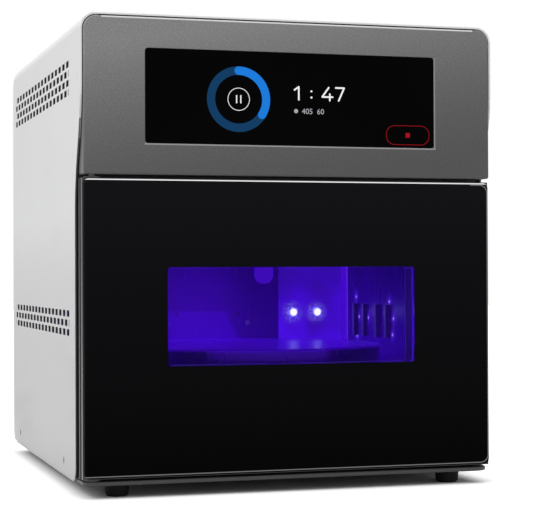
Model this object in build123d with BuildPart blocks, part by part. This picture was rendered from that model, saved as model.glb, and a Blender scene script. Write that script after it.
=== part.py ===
from build123d import *
import os

# Countertop light curing chamber, in millimetres.
# It stands on Z = 0 with its front towards -Y. The origin is the centre of its footprint.
# Depths are written as distances behind the front plane.

# Overall size
overall_width = 310.0
overall_depth = 340.0
overall_height = 340.0
front_y = -overall_depth / 2
half_width = overall_width / 2

# Fits
seat_gap = 0.3
running_gap = 0.05
fit_gap = 0.15

# Feet and base
foot_height = 9.3
foot_top_radius = 9.0
foot_tip_radius = 8.2
foot_round = 2.4
foot_side_inset = 29.0
foot_front_depth = 20.0
foot_rear_inset = 22.0
foot_recess_radius = 4.2
foot_recess_depth = 5.0
foot_screw_radius = 2.0
foot_screw_head = 3.6
foot_screw_head_height = 2.2
pan_sheet = 1.2
pan_flange_height = 20.0
pan_rear_setback = 0.8
pan_corner = 11.0
pan_edge_inset = 0.6
pan_front_depth = 35.0
trim_thickness = 3.0
trim_front_depth = 1.5
trim_corner = 10.0
trim_side_inset = 2.2
trim_tongue = 20.0
trim_edge_round = 0.8

# Cover
cover_wall = 1.6
cover_corner = 12.0
cover_seam = 0.3
cover_front_setback = 1.0
cover_rear_bend = 25.0
cover_rear_lip = 12.0
cover_low_corner = 9.5
sweep_over_door = 69.6
sweep_under_door_top = 26.4
bulkhead_depth = 22.5

# Vent slots of the cover
slot_length = 10.3
slot_height = 4.4
slot_pitch = 17.0
slot_row_pitch = 6.85
slot_field_start = 47.5
slot_field_rear_inset = 20.0
upper_slot_rows = 4
upper_slot_from_top = 53.8
lower_slot_rows = 3
lower_slot_low_z = 112.7

# Countersunk screws of the casing
screw_head = 2.6
screw_shank = 1.6
screw_cone = 1.15
screw_length = 7.0
side_screw_front_depth = 73.0
side_screw_rear_inset = 42.0
side_screw_z = 20.5

# Control panel
panel_gap = 0.6
panel_wall = 2.0
panel_low_corner = 1.5
panel_edge_round = 1.2
display_width = 218.0
display_margin_z = 21.85
display_corner = 2.5
glass_recess = 0.4
glass_thickness = 1.6
lcd_margin = 5.0
lcd_thickness = 7.0
bracket_sheet = 1.2
bracket_opening_width = 150.0
bracket_opening_height = 40.0
board_thickness = 1.6
controller_width = 170.0
controller_height = 70.0
controller_standoff = 3.4
chip_height = 2.4
controller_chips = 3
controller_chip_pitch = 56.0
controller_chip_size = 17.0
ribbon_width = 22.0
ribbon_thickness = 0.4
ribbon_run = 9.0
ribbon_lcd_drop = 8.0
ribbon_board_drop = 26.0
ribbon_landing = 4.5

# Door
door_side_inset = 1.0
door_depth = 20.0
door_foot_gap = 1.3
door_top_z = 224.4
door_top_gap = 2.5
door_face_inset = 1.5
door_face_end_inset = 0.8
door_face_thickness = 4.0
door_face_round = 2.4
door_face_corner = 3.6
door_waist_inset = 0.8
door_groove_depth = 10.0
door_groove_width = 1.0
door_groove_inset = 1.7
door_hinge_round = 8.0
door_swing_round = 3.0
door_wall = 4.0
door_web = 3.0
door_rib = 2.0
door_ribs = 4
window_width = 186.0
window_height = 70.0
window_centre_z = 126.6
window_corner = 2.4
pane_flange = 4.0
pane_flange_thickness = 2.0
pane_round = 0.5
liner_sheet = 0.8
door_liner_side_inset = 16.0
door_liner_margin = 2.0
magnet_radius = 5.0
magnet_length = 5.0
magnet_side_inset = 10.0
magnet_heights = (60.0, 180.0)
door_screw_radius = 1.5
door_screw_head = 3.0
door_screw_head_height = 0.6
door_screw_length = 12.0
door_boss_radius = 4.5
door_screw_pitch = 124.0
door_screw_inset_z = 14.0

# Hinge
hinge_from_edge = 9.0
hinge_depth = 9.5
pin_radius = 2.5
bush_radius = 4.0
bush_length = 12.0
bush_flange_radius = 6.0
bush_flange_height = 1.0
pin_engagement = 10.0
pin_head_radius = 4.5
pin_head_height = 2.0
hinge_block_width = 18.0
pin_hole_gap = 0.3
bracket_plate = 2.5
bracket_length = 26.0
bracket_rise = 18.0

# Bulkhead, seal and catch
frame_sheet = 1.5
frame_return = 10.0
seal_from_mouth = 1.5
seal_width = 4.5
seal_round = 0.8
strike_radius = 7.0
strike_thickness = 1.6
sensor_width = 12.0
sensor_height = 20.0
sensor_thickness = 1.8
sensor_corner = 1.8
sensor_side_inset = 10.0
sensor_drop = 24.4
sensor_magnet_radius = 3.0
sensor_magnet_length = 4.0

# Chamber
chamber_half_width = 128.0
chamber_floor_z = 70.0
chamber_ceiling_z = 218.0
chamber_back_depth = 250.0
chamber_sheet = 1.0
louvre_depths = (146.0, 170.0, 201.0, 225.0)
louvre_low_z = 104.0
louvre_high_z = 130.0
louvre_width = 5.0
hood_reach = 2.6
hood_sheet = 0.8
lamp_inner_x = 64.0
lamp_outer_x = 122.0
lamp_low_z = 84.0
lamp_high_z = 206.0
lamp_board_margin = 4.0
lens_radius = 5.0
lens_height = 4.5
lens_columns = 2
lens_rows = 2
lens_pitch_x = 22.0
lens_pitch_z = 55.0
lens_centre_x = 88.0
lens_centre_z = 150.5
lens_cone = 2.4
sink_base = 4.0
sink_fin_height = 20.0
sink_fin_thickness = 2.0
sink_fins = 6
ceiling_lamp_half_width = 52.0
ceiling_lamp_front = 90.0
ceiling_lamp_back = 180.0
ceiling_fin_height = 9.0
ceiling_lens_pitch_x = 60.0
ceiling_lens_pitch_y = 50.0
shroud_x = 50.0
shroud_width = 16.0
shroud_low_z = 148.0
shroud_high_z = 178.0
shroud_thickness = 5.0
back_slot_length = 56.0
back_slot_height = 4.0
back_slot_pitch = 9.0
back_slot_count = 7

# Turntable
platter_radius = 108.0
platter_depth = 135.0
platter_top_z = 101.0
platter_plate = 3.0
platter_skirt = 21.0
platter_edge_round = 1.6
hub_flange_radius = 28.0
hub_flange_height = 4.0
hub_boss_radius = 9.0
hub_boss_length = 20.0
hub_bore_depth = 18.0
shaft_radius = 3.0
bush_outer = 6.0
bush_collar = 9.0
bush_collar_height = 1.5
motor_seat_depth = 3.0
motor_radius = 25.0
motor_height = 20.0
motor_pocket = 9.0
motor_ear_spread = 31.0
motor_ear_radius = 5.0
motor_ear_height = 2.0
motor_ear_hole = 1.8

# Fans
fan_size = 80.0
fan_depth = 25.0
fan_corner = 4.0
fan_flange = 3.5
fan_barrel_wall = 1.5
fan_tip_gap = 1.2
fan_hub_radius = 16.0
fan_hub_length = 21.0
fan_blades = 7
fan_blade_chord = 21.0
fan_blade_thickness = 1.6
fan_root_pitch = 42.0
fan_tip_pitch = 26.0
fan_strut_width = 4.0
fan_strut_angle = 45.0
fan_strut_height = 2.0
fan_spindle_radius = 2.0
fan_spindle_length = 12.0
fan_hole_spacing = 71.5
fan_hole_radius = 2.1
fan_screw_radius = 2.0
fan_screw_head = 3.4
fan_screw_head_height = 1.4
fan_short_screw = 8.0
chamber_fan_z = 150.0
exhaust_fan_z = 222.0

# Rear panel
rear_sheet = 1.2
rear_lap = 8.0
rear_top_margin = 0.8
grille_slot_radii = (12.0, 19.0, 26.0, 33.0)
grille_slot_width = 4.0
grille_spoke_width = 4.0
grille_spoke_angles = (45.0, 135.0)
rear_vent_rows = 4
rear_vent_columns = 6
rear_vent_z = 130.0
rear_vent_height = 3.0
rear_vent_length = 22.0
rear_vent_pitch_x = 30.0
rear_vent_pitch_z = 8.0
rear_screw_spread = 130.0
rear_screw_count = 3
rear_screw_low_z = 25.3
rear_screw_from_top = 32.0

# Power
inlet_side_inset = 43.0
inlet_z = 62.0
inlet_flange_width = 30.0
inlet_flange_height = 24.0
inlet_flange_thickness = 1.4
inlet_flange_corner = 1.4
inlet_body_width = 27.0
inlet_body_height = 19.5
inlet_body_depth = 21.0
inlet_socket_width = 24.0
inlet_socket_height = 16.0
inlet_socket_depth = 16.0
inlet_corner = 4.0
blade_width = 2.0
blade_height = 4.0
blade_length = 14.0
blade_spread = 7.0
blade_drop = 2.0
rocker_from_inlet = 36.0
rocker_frame_width = 21.0
rocker_frame_height = 28.0
rocker_body_width = 19.0
rocker_body_height = 26.0
rocker_body_depth = 18.0
rocker_well_width = 14.0
rocker_well_height = 21.0
rocker_well_depth = 10.0
rocker_width = 13.0
rocker_height = 19.4
rocker_pivot_inset = 5.0
rocker_crown = 4.2
rocker_dip = 3.0
rocker_back = 2.8
rocker_back_height = 8.0
rocker_tilt = 7.0
rocker_pivot_radius = 1.5
rocker_pivot_reach = 8.5
supply_width = 98.0
supply_length = 130.0
supply_height = 29.0
supply_from_back = 120.0
supply_shelf = 14.0
supply_terminal_height = 12.0
supply_vent_rows = 3
supply_vent_columns = 6
supply_vent_radius = 3.0
supply_vent_pitch = 14.0
supply_vent_depth = 1.5
supply_vent_sides = 6
lead_radius = 2.6
lead_z = 17.0
lead_x = -35.0
lead_drop_run = 37.0
lead_turn_run = 38.0
lead_bend = 12.0
driver_width = 120.0
driver_height = 70.0
driver_rise = 3.65
driver_standoff = 6.0
driver_coils = 3
driver_coil_pitch_x = 30.0
driver_coil_pitch_z = 35.0
driver_coil_width = 12.0
driver_coil_height = 14.0
driver_coil_depth = 4.8
standoff_radius = 2.5
standoff_inset = 5.0

# Levels and places that follow from the sizes above
foot_offset_x = half_width - foot_side_inset
foot_rear_depth = overall_depth - foot_rear_inset
slot_field_end = overall_depth - slot_field_rear_inset
slot_columns = int((slot_field_end - slot_field_start) / slot_pitch)
upper_slot_low_z = overall_height - upper_slot_from_top
side_screw_depths = (side_screw_front_depth, overall_depth - side_screw_rear_inset)
sweep_top_z = door_top_z + sweep_over_door
sweep_low_z = door_top_z - sweep_under_door_top
pan_top_z = foot_height + pan_sheet
trim_top_z = foot_height + trim_thickness
cover_foot_z = pan_top_z + cover_seam
cover_inner_x = half_width - cover_wall
door_foot_z = trim_top_z + door_foot_gap
door_height = door_top_z - door_foot_z
door_centre_z = (door_top_z + door_foot_z) / 2
door_half_width = half_width - door_side_inset
door_liner_half_width = door_half_width - door_liner_side_inset
magnet_offset_x = door_half_width - magnet_side_inset
sensor_x = door_half_width - sensor_side_inset
sensor_z = door_top_z - sensor_drop
panel_half_width = cover_inner_x - panel_gap
panel_top_z = overall_height - cover_wall - panel_gap
panel_foot_z = door_top_z + door_top_gap
panel_corner = cover_corner - cover_wall - panel_gap
display_centre_z = (panel_top_z + panel_foot_z) / 2
display_height = panel_top_z - panel_foot_z - 2 * display_margin_z
ribbon_lcd_z = display_centre_z - ribbon_lcd_drop
ribbon_board_z = display_centre_z - ribbon_board_drop
driver_centre_z = display_centre_z + driver_rise
frame_back = bulkhead_depth + frame_sheet
hinge_x = -door_half_width + hinge_from_edge
lcd_back = panel_wall + lcd_thickness
rear_face = overall_depth - pan_rear_setback - pan_sheet
rear_inner = rear_face - rear_sheet
rear_foot_z = foot_height + pan_flange_height - rear_lap
rear_top_z = overall_height - cover_rear_bend - rear_top_margin
rear_screw_high_z = overall_height - rear_screw_from_top
inlet_x = -half_width + inlet_side_inset
rocker_x = inlet_x + rocker_from_inlet
supply_back = rear_face - supply_from_back
supply_front_depth = supply_back - supply_length
mouth_centre_z = (chamber_floor_z + chamber_ceiling_z) / 2
mouth_height = chamber_ceiling_z - chamber_floor_z
lamp_back = chamber_back_depth + chamber_sheet
lamp_width = lamp_outer_x - lamp_inner_x
lamp_centre_x = (lamp_outer_x + lamp_inner_x) / 2
lamp_height = lamp_high_z - lamp_low_z
lamp_centre_z = (lamp_high_z + lamp_low_z) / 2
ceiling_top = chamber_ceiling_z + chamber_sheet
ceiling_lamp_length = ceiling_lamp_back - ceiling_lamp_front
ceiling_lamp_centre = (ceiling_lamp_back + ceiling_lamp_front) / 2
floor_bottom = chamber_floor_z - chamber_sheet
platter_bottom = platter_top_z - platter_plate
hub_foot = platter_bottom - hub_flange_height - hub_boss_length
motor_top = floor_bottom
shaft_foot = motor_top - motor_pocket + seat_gap
shaft_top = hub_foot + hub_bore_depth
lcd_half_width = display_width / 2 + lcd_margin
lcd_half_height = display_height / 2 + lcd_margin
controller_back = bulkhead_depth - controller_standoff
bracket_foot_z = panel_foot_z + panel_wall
fan_bore = fan_size / 2 - fan_barrel_wall
fan_radius = ((fan_bore - fan_tip_gap) ** 2 - (fan_blade_chord / 2) ** 2) ** 0.5
casing_face = rear_face + inlet_flange_thickness
rocker_pivot_depth = casing_face - rocker_pivot_inset
lid_depth = door_depth - liner_sheet
seal_height = bulkhead_depth - door_depth - seat_gap

os.makedirs("parts", exist_ok=True)


def at_depth(depth: float) -> float:
    """Y of a point that lies this far behind the front plane."""
    return front_y + depth


def facing_front(depth: float) -> Plane:
    """Upright plane at a depth, drawn with X to the right and Z up, its normal to the front."""
    return Plane(origin=(0, at_depth(depth), 0), x_dir=(1, 0, 0), z_dir=(0, -1, 0))


def spot(x: float, depth: float, z: float) -> Plane:
    """Plane at a point, drawn with X to the right and Z up, its normal to the front."""
    return Plane(origin=(x, at_depth(depth), z), x_dir=(1, 0, 0), z_dir=(0, -1, 0))


def arch(side: float, low: float, top: float, corner: float) -> Sketch:
    """Upright outline with square feet and rounded top corners."""
    with BuildSketch() as outline:
        with BuildLine():
            FilletPolyline((-side, low), (-side, top), (side, top), (side, low), radius=corner)
            Line((side, low), (-side, low))
        make_face()
    return outline.sketch


def countersunk_screw() -> Part:
    """Screw with its flat head at the origin and its shank towards -Z."""
    with BuildPart() as screw:
        with BuildSketch(Plane.XZ):
            with BuildLine():
                Polyline(
                    (0, 0),
                    (screw_head, 0),
                    (screw_shank, -screw_cone),
                    (screw_shank, -screw_length),
                    (0, -screw_length),
                    close=True,
                )
            make_face()
        revolve(axis=Axis.Z)
    return screw.part


def save(piece: Part, label: str) -> None:
    """Label a finished piece and write it to its own file."""
    piece.label = label
    export_step(piece, f"parts/{label}.step")


def side_screw_places() -> list:
    """Planes of the screws on both sides, facing outwards."""
    places = []
    for side in (-1, 1):
        for depth in side_screw_depths:
            origin = (side * half_width, at_depth(depth), side_screw_z)
            places.append(Plane(origin=origin, z_dir=(side, 0, 0)))
    return places


def rear_screw_places(height: float, depth: float) -> list:
    """Planes of a row of screws on the back, facing backwards."""
    places = []
    for number in range(rear_screw_count):
        x = (number - (rear_screw_count - 1) / 2) * rear_screw_spread
        places.append(Plane(origin=(x, at_depth(depth), height), z_dir=(0, 1, 0)))
    return places


# Wrap cover


def slot_field(rows: int, low_z: float) -> Sketch:
    """Staggered rows of slots, with the end slots of every other row cut short by the field's edge."""
    row_span = slot_columns * slot_pitch
    with BuildSketch() as field:
        for row in range(rows):
            shift = slot_pitch / 2 * ((rows - 1 - row) % 2)
            first = at_depth(slot_field_start) - shift + slot_length / 2
            height = low_z + slot_height / 2 + row * slot_row_pitch
            with Locations((first + row_span / 2, height)):
                with GridLocations(slot_pitch, slot_row_pitch, slot_columns + 1, 1):
                    Rectangle(slot_length, slot_height)
        with Locations((at_depth(slot_field_start), 0)):
            Rectangle(
                slot_field_end - slot_field_start,
                overall_height,
                align=(Align.MIN, Align.MIN),
                mode=Mode.INTERSECT,
            )
    return field.sketch


with BuildPart() as cover_cavity:
    with BuildSketch(Plane.XZ):
        add(arch(cover_inner_x, 0, overall_height - cover_wall, cover_corner - cover_wall))
    extrude(amount=overall_depth, both=True)
    with BuildSketch(Plane.YZ.offset(-overall_width)):
        with BuildLine():
            cavity_top = overall_height - cover_wall
            cavity_back = at_depth(overall_depth - cover_wall)
            cavity_bend = cover_rear_bend - cover_wall
            Line((-overall_depth, 0), (cavity_back, 0))
            Line((cavity_back, 0), (cavity_back, cavity_top - cavity_bend))
            RadiusArc(
                (cavity_back, cavity_top - cavity_bend),
                (cavity_back - cavity_bend, cavity_top),
                -cavity_bend,
            )
            Line((cavity_back - cavity_bend, cavity_top), (-overall_depth, cavity_top))
            Line((-overall_depth, cavity_top), (-overall_depth, 0))
        make_face()
    extrude(amount=2 * overall_width, mode=Mode.INTERSECT)

with BuildPart() as wrap_cover:
    with BuildSketch(Plane.XZ):
        add(arch(half_width, 0, overall_height, cover_corner))
    extrude(amount=overall_depth, both=True)
    with BuildSketch(Plane.YZ.offset(-overall_width)) as cover_side:
        with BuildLine():
            cover_front = at_depth(cover_front_setback)
            cover_swept = at_depth(bulkhead_depth)
            cover_back = at_depth(overall_depth)
            bend_z = overall_height - cover_rear_bend
            sweep_middle = ((cover_front + cover_swept) / 2, (sweep_top_z + sweep_low_z) / 2)
            Line((cover_front, overall_height), (cover_front, sweep_top_z))
            upper_sweep = TangentArc((cover_front, sweep_top_z), sweep_middle, tangent=(0, -1))
            TangentArc(sweep_middle, (cover_swept, sweep_low_z), tangent=upper_sweep % 1)
            Line((cover_swept, sweep_low_z), (cover_swept, cover_foot_z))
            Line((cover_swept, cover_foot_z), (cover_back, cover_foot_z))
            Line((cover_back, cover_foot_z), (cover_back, bend_z))
            RadiusArc(
                (cover_back, bend_z),
                (cover_back - cover_rear_bend, overall_height),
                -cover_rear_bend,
            )
            Line((cover_back - cover_rear_bend, overall_height), (cover_front, overall_height))
        make_face()
        fillet(cover_side.vertices().group_by(Axis.Y)[0], radius=cover_low_corner)
    extrude(amount=2 * overall_width, mode=Mode.INTERSECT)
    add(cover_cavity.part, mode=Mode.SUBTRACT)
    with BuildSketch(Plane.XZ.offset(front_y)):
        with Locations((0, 0)):
            Rectangle(2 * cover_inner_x, bend_z - cover_rear_lip, align=(Align.CENTER, Align.MIN))
    extrude(amount=2 * cover_wall, both=True, mode=Mode.SUBTRACT)
    with BuildSketch(Plane.YZ):
        add(slot_field(upper_slot_rows, upper_slot_low_z))
        add(slot_field(lower_slot_rows, lower_slot_low_z))
    extrude(amount=overall_width, both=True, mode=Mode.SUBTRACT)
    with Locations(*side_screw_places()):
        CounterSinkHole(screw_shank, screw_head, depth=2 * cover_wall)
    with Locations(*rear_screw_places(rear_screw_high_z, overall_depth)):
        CounterSinkHole(screw_shank, screw_head, depth=2 * cover_wall)
save(wrap_cover.part, "wrap_cover")

# Base


def foot_places() -> list:
    """Centres of the four feet in plan."""
    places = []
    for side in (-1, 1):
        for depth in (foot_front_depth, foot_rear_depth):
            places.append((side * foot_offset_x, at_depth(depth)))
    return places


with BuildPart() as base_pan:
    pan_back = at_depth(overall_depth - pan_rear_setback)
    pan_front = at_depth(pan_front_depth)
    flange_top = foot_height + pan_flange_height
    with BuildSketch(Plane.YZ.offset(-cover_inner_x)):
        with BuildLine():
            FilletPolyline(
                (pan_front, foot_height),
                (pan_back, foot_height),
                (pan_back, flange_top),
                radius=pan_corner,
            )
            offset(amount=pan_sheet, side=Side.LEFT)
        make_face()
    extrude(amount=2 * cover_inner_x)
    with BuildSketch(Plane.XY.offset(foot_height)):
        with Locations((0, pan_front)):
            Rectangle(
                2 * (half_width - pan_edge_inset),
                pan_back - pan_front - pan_corner,
                align=(Align.CENTER, Align.MIN),
            )
    extrude(amount=pan_sheet)
    for side in (-1, 1):
        with BuildSketch(Plane.YZ.offset(side * cover_inner_x)) as flange:
            with Locations((pan_front, foot_height)):
                Rectangle(pan_back - pan_front, pan_flange_height, align=Align.MIN)
            fillet(flange.vertices().group_by(Axis.Y)[0].sort_by(Axis.X)[-1], radius=pan_corner)
        extrude(amount=-side * pan_sheet)
    with Locations(*side_screw_places()):
        Hole(screw_shank, depth=screw_length)
    with Locations(*rear_screw_places(rear_screw_low_z, overall_depth - pan_rear_setback)):
        CounterSinkHole(screw_shank, screw_head, depth=screw_length)
    with Locations(*[(x, y, pan_top_z) for x, y in foot_places()]):
        Hole(foot_screw_radius, depth=foot_height)
save(base_pan.part, "base_pan")

with BuildPart() as base_trim:
    trim_half_width = half_width - trim_side_inset
    with BuildSketch(Plane.XY.offset(foot_height)) as trim_plan:
        with Locations((0, at_depth(trim_front_depth))):
            Rectangle(
                2 * trim_half_width,
                pan_front_depth - trim_front_depth,
                align=(Align.CENTER, Align.MIN),
            )
        fillet(trim_plan.vertices().group_by(Axis.Y)[0], radius=trim_corner)
    extrude(amount=trim_thickness)
    fillet(base_trim.faces().sort_by(Axis.Y)[0].edges().filter_by(Axis.X), radius=trim_edge_round)
    with BuildSketch(Plane.XY.offset(pan_top_z)):
        with Locations((0, pan_front)):
            Rectangle(2 * foot_offset_x, trim_tongue, align=(Align.CENTER, Align.MIN))
    extrude(amount=trim_top_z - pan_top_z)
    with Locations((hinge_x, at_depth(hinge_depth), trim_top_z)):
        Hole(pin_radius, depth=trim_thickness)
    with Locations(*[(x, y, trim_top_z) for x, y in foot_places()]):
        Hole(foot_screw_radius, depth=trim_thickness)
save(base_trim.part, "base_trim")

with BuildPart() as one_foot:
    with BuildSketch(Plane.XZ) as foot_profile:
        with BuildLine():
            Polyline(
                (foot_screw_radius, foot_recess_depth),
                (foot_recess_radius, foot_recess_depth),
                (foot_recess_radius, 0),
                (foot_tip_radius, 0),
                (foot_top_radius, foot_height),
                (foot_screw_radius, foot_height),
                close=True,
            )
        make_face()
        fillet(foot_profile.vertices().group_by(Axis.Y)[0].sort_by(Axis.X)[-1], radius=foot_round)
    revolve(axis=Axis.Z)

with BuildPart() as rubber_feet:
    with Locations(*foot_places()):
        add(one_foot.part)
save(rubber_feet.part, "rubber_feet")

with BuildPart() as foot_screws:
    with BuildSketch(Plane.XY.offset(foot_recess_depth)):
        with Locations(*foot_places()):
            Circle(foot_screw_head)
    extrude(amount=-foot_screw_head_height)
    with BuildSketch(Plane.XY.offset(foot_recess_depth)):
        with Locations(*foot_places()):
            Circle(foot_screw_radius)
    extrude(amount=trim_top_z - foot_recess_depth)
save(foot_screws.part, "foot_screws")

with BuildPart() as cover_screws:
    with Locations(*side_screw_places()):
        add(countersunk_screw())
save(cover_screws.part, "cover_screws")

# Rear panel


def ring_grille() -> Sketch:
    """Concentric ring slots with four spokes left between them."""
    with BuildSketch() as grille:
        for radius in reversed(grille_slot_radii):
            Circle(radius + grille_slot_width / 2)
            Circle(radius - grille_slot_width / 2, mode=Mode.SUBTRACT)
        for angle in grille_spoke_angles:
            Rectangle(fan_size, grille_spoke_width, rotation=angle, mode=Mode.SUBTRACT)
    return grille.sketch


with BuildPart() as rear_panel:
    with BuildSketch(facing_front(rear_face)):
        with Locations((0, rear_foot_z)):
            Rectangle(
                2 * (cover_inner_x - pan_sheet - fit_gap),
                rear_top_z - rear_foot_z,
                align=(Align.CENTER, Align.MIN),
            )
        with Locations((0, rear_vent_z)):
            with GridLocations(rear_vent_pitch_x, rear_vent_pitch_z, rear_vent_columns, rear_vent_rows):
                Rectangle(rear_vent_length, rear_vent_height, mode=Mode.SUBTRACT)
        with Locations((0, exhaust_fan_z)):
            with GridLocations(fan_hole_spacing, fan_hole_spacing, 2, 2):
                Circle(fan_hole_radius, mode=Mode.SUBTRACT)
        with Locations((inlet_x, inlet_z)):
            Rectangle(inlet_body_width, inlet_body_height, mode=Mode.SUBTRACT)
        with Locations((rocker_x, inlet_z)):
            Rectangle(rocker_body_width, rocker_body_height, mode=Mode.SUBTRACT)
    extrude(amount=rear_sheet)
    with BuildSketch(spot(0, rear_face, exhaust_fan_z)):
        add(ring_grille())
    extrude(amount=rear_sheet, mode=Mode.SUBTRACT)
    with Locations(*rear_screw_places(rear_screw_high_z, overall_depth)):
        Hole(screw_shank, depth=screw_length)
    with Locations(*rear_screw_places(rear_screw_low_z, overall_depth - pan_rear_setback)):
        Hole(screw_shank, depth=screw_length)
save(rear_panel.part, "rear_panel")

with BuildPart() as rear_screws:
    with Locations(*rear_screw_places(rear_screw_high_z, overall_depth)):
        add(countersunk_screw())
    with Locations(*rear_screw_places(rear_screw_low_z, overall_depth - pan_rear_setback)):
        add(countersunk_screw())
save(rear_screws.part, "rear_screws")

# Bulkhead with the chamber's mouth
with BuildPart() as front_frame:
    with BuildSketch(facing_front(bulkhead_depth)):
        add(arch(panel_half_width, trim_top_z, panel_top_z, panel_corner))
        with Locations((0, mouth_centre_z)):
            Rectangle(2 * chamber_half_width, mouth_height, mode=Mode.SUBTRACT)
    extrude(amount=-frame_sheet)
    for side in (-1, 1):
        with BuildSketch(facing_front(frame_back)):
            with Locations((side * (panel_half_width - frame_sheet / 2), trim_top_z)):
                Rectangle(
                    frame_sheet,
                    panel_top_z - panel_corner - trim_top_z,
                    align=(Align.CENTER, Align.MIN),
                )
        extrude(amount=-frame_return)
save(front_frame.part, "front_frame")

with BuildPart() as door_seal:
    with BuildSketch(facing_front(bulkhead_depth)):
        with Locations((0, mouth_centre_z)):
            seal_outer = seal_from_mouth + seal_width
            RectangleRounded(
                2 * (chamber_half_width + seal_outer),
                mouth_height + 2 * seal_outer,
                seal_outer,
            )
            RectangleRounded(
                2 * (chamber_half_width + seal_from_mouth),
                mouth_height + 2 * seal_from_mouth,
                seal_from_mouth,
                mode=Mode.SUBTRACT,
            )
    extrude(amount=seal_height)
    fillet(door_seal.faces().sort_by(Axis.Y)[0].edges(), radius=seal_round)
save(door_seal.part, "door_seal")

with BuildPart() as strike_plates:
    with BuildSketch(facing_front(bulkhead_depth)):
        with Locations(*[(magnet_offset_x, height) for height in magnet_heights]):
            Circle(strike_radius)
    extrude(amount=strike_thickness)
save(strike_plates.part, "strike_plates")

with BuildPart() as door_sensor:
    with BuildSketch(facing_front(bulkhead_depth)):
        with Locations((sensor_x, sensor_z)):
            RectangleRounded(sensor_width, sensor_height, sensor_corner)
    extrude(amount=sensor_thickness)
save(door_sensor.part, "door_sensor")

# Control panel
with BuildPart() as control_panel:
    with BuildSketch(facing_front(0)) as panel_face:
        add(arch(panel_half_width, panel_foot_z, panel_top_z, panel_corner))
        fillet(panel_face.vertices().group_by(Axis.Y)[0], radius=panel_low_corner)
    extrude(amount=-bulkhead_depth)
    front_edges = control_panel.faces().sort_by(Axis.Y)[0].edges()
    fillet(front_edges, radius=panel_edge_round)
    with BuildSketch(facing_front(panel_wall)):
        add(
            arch(
                panel_half_width - panel_wall,
                panel_foot_z + panel_wall,
                panel_top_z - panel_wall,
                panel_corner - panel_wall,
            )
        )
    extrude(amount=-bulkhead_depth, mode=Mode.SUBTRACT)
    with BuildSketch(facing_front(0)):
        with Locations((0, display_centre_z)):
            RectangleRounded(display_width, display_height, display_corner)
    extrude(amount=-panel_wall, mode=Mode.SUBTRACT)
    with Locations((hinge_x, at_depth(hinge_depth), bracket_foot_z)):
        Hole(pin_radius + pin_hole_gap, depth=panel_wall)
save(control_panel.part, "control_panel")

with BuildPart() as display_glass:
    with BuildSketch(facing_front(glass_recess)):
        with Locations((0, display_centre_z)):
            RectangleRounded(
                display_width - 2 * fit_gap,
                display_height - 2 * fit_gap,
                display_corner - fit_gap,
            )
    extrude(amount=-glass_thickness)
save(display_glass.part, "display_glass")

with BuildPart() as lcd_module:
    with BuildSketch(facing_front(panel_wall)):
        with Locations((0, display_centre_z)):
            Rectangle(2 * lcd_half_width, 2 * lcd_half_height)
    extrude(amount=-lcd_thickness)
save(lcd_module.part, "lcd_module")

with BuildPart() as display_bracket:
    with BuildSketch(facing_front(panel_wall)):
        with Locations((0, display_centre_z)):
            Rectangle(
                2 * (lcd_half_width + fit_gap + bracket_sheet),
                2 * (lcd_half_height + fit_gap + bracket_sheet),
            )
    extrude(amount=-lcd_thickness - bracket_sheet)
    with BuildSketch(facing_front(panel_wall)):
        with Locations((0, display_centre_z)):
            Rectangle(2 * (lcd_half_width + fit_gap), 2 * (lcd_half_height + fit_gap))
    extrude(amount=-lcd_thickness, mode=Mode.SUBTRACT)
    with BuildSketch(facing_front(lcd_back)):
        with Locations((0, display_centre_z)):
            Rectangle(bracket_opening_width, bracket_opening_height)
    extrude(amount=-bracket_sheet, mode=Mode.SUBTRACT)
save(display_bracket.part, "display_bracket")

with BuildPart() as controller_board:
    with BuildSketch(facing_front(controller_back)):
        with Locations((0, display_centre_z)):
            Rectangle(controller_width, controller_height)
    extrude(amount=board_thickness)
    with BuildSketch(facing_front(controller_back - board_thickness)):
        with Locations((0, display_centre_z)):
            with GridLocations(controller_chip_pitch, 0, controller_chips, 1):
                Rectangle(controller_chip_size, controller_chip_size)
    extrude(amount=chip_height)
save(controller_board.part, "controller_board")

with BuildPart() as display_ribbon:
    board_face = controller_back - board_thickness
    with BuildSketch(Plane.YZ.offset(ribbon_run)):
        with BuildLine():
            Polyline(
                (at_depth(lcd_back), ribbon_lcd_z),
                (at_depth(lcd_back), ribbon_lcd_z - ribbon_run),
                (at_depth(board_face - ribbon_thickness), ribbon_board_z),
                (at_depth(board_face - ribbon_thickness), ribbon_board_z - ribbon_landing),
            )
            offset(amount=ribbon_thickness, side=Side.LEFT)
        make_face()
    extrude(amount=ribbon_width)
save(display_ribbon.part, "display_ribbon")

with BuildPart() as driver_board:
    with BuildSketch(facing_front(frame_back + driver_standoff)):
        with Locations((0, driver_centre_z)):
            Rectangle(driver_width, driver_height)
    extrude(amount=-board_thickness)
    with BuildSketch(facing_front(frame_back + driver_standoff + board_thickness)):
        with Locations((0, driver_centre_z)):
            with GridLocations(driver_coil_pitch_x, driver_coil_pitch_z, driver_coils, 2):
                Rectangle(driver_coil_width, driver_coil_height)
    extrude(amount=-driver_coil_depth)
save(driver_board.part, "driver_board")

with BuildPart() as board_standoffs:
    with BuildSketch(facing_front(bulkhead_depth)):
        with Locations((0, display_centre_z)):
            with GridLocations(
                controller_width - 2 * standoff_inset,
                controller_height - 2 * standoff_inset,
                2,
                2,
            ):
                Circle(standoff_radius)
    extrude(amount=controller_standoff)
    with BuildSketch(facing_front(frame_back)):
        with Locations((0, driver_centre_z)):
            with GridLocations(
                driver_width - 2 * standoff_inset,
                driver_height - 2 * standoff_inset,
                2,
                2,
            ):
                Circle(standoff_radius)
    extrude(amount=-driver_standoff)
save(board_standoffs.part, "board_standoffs")

# Chamber


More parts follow.
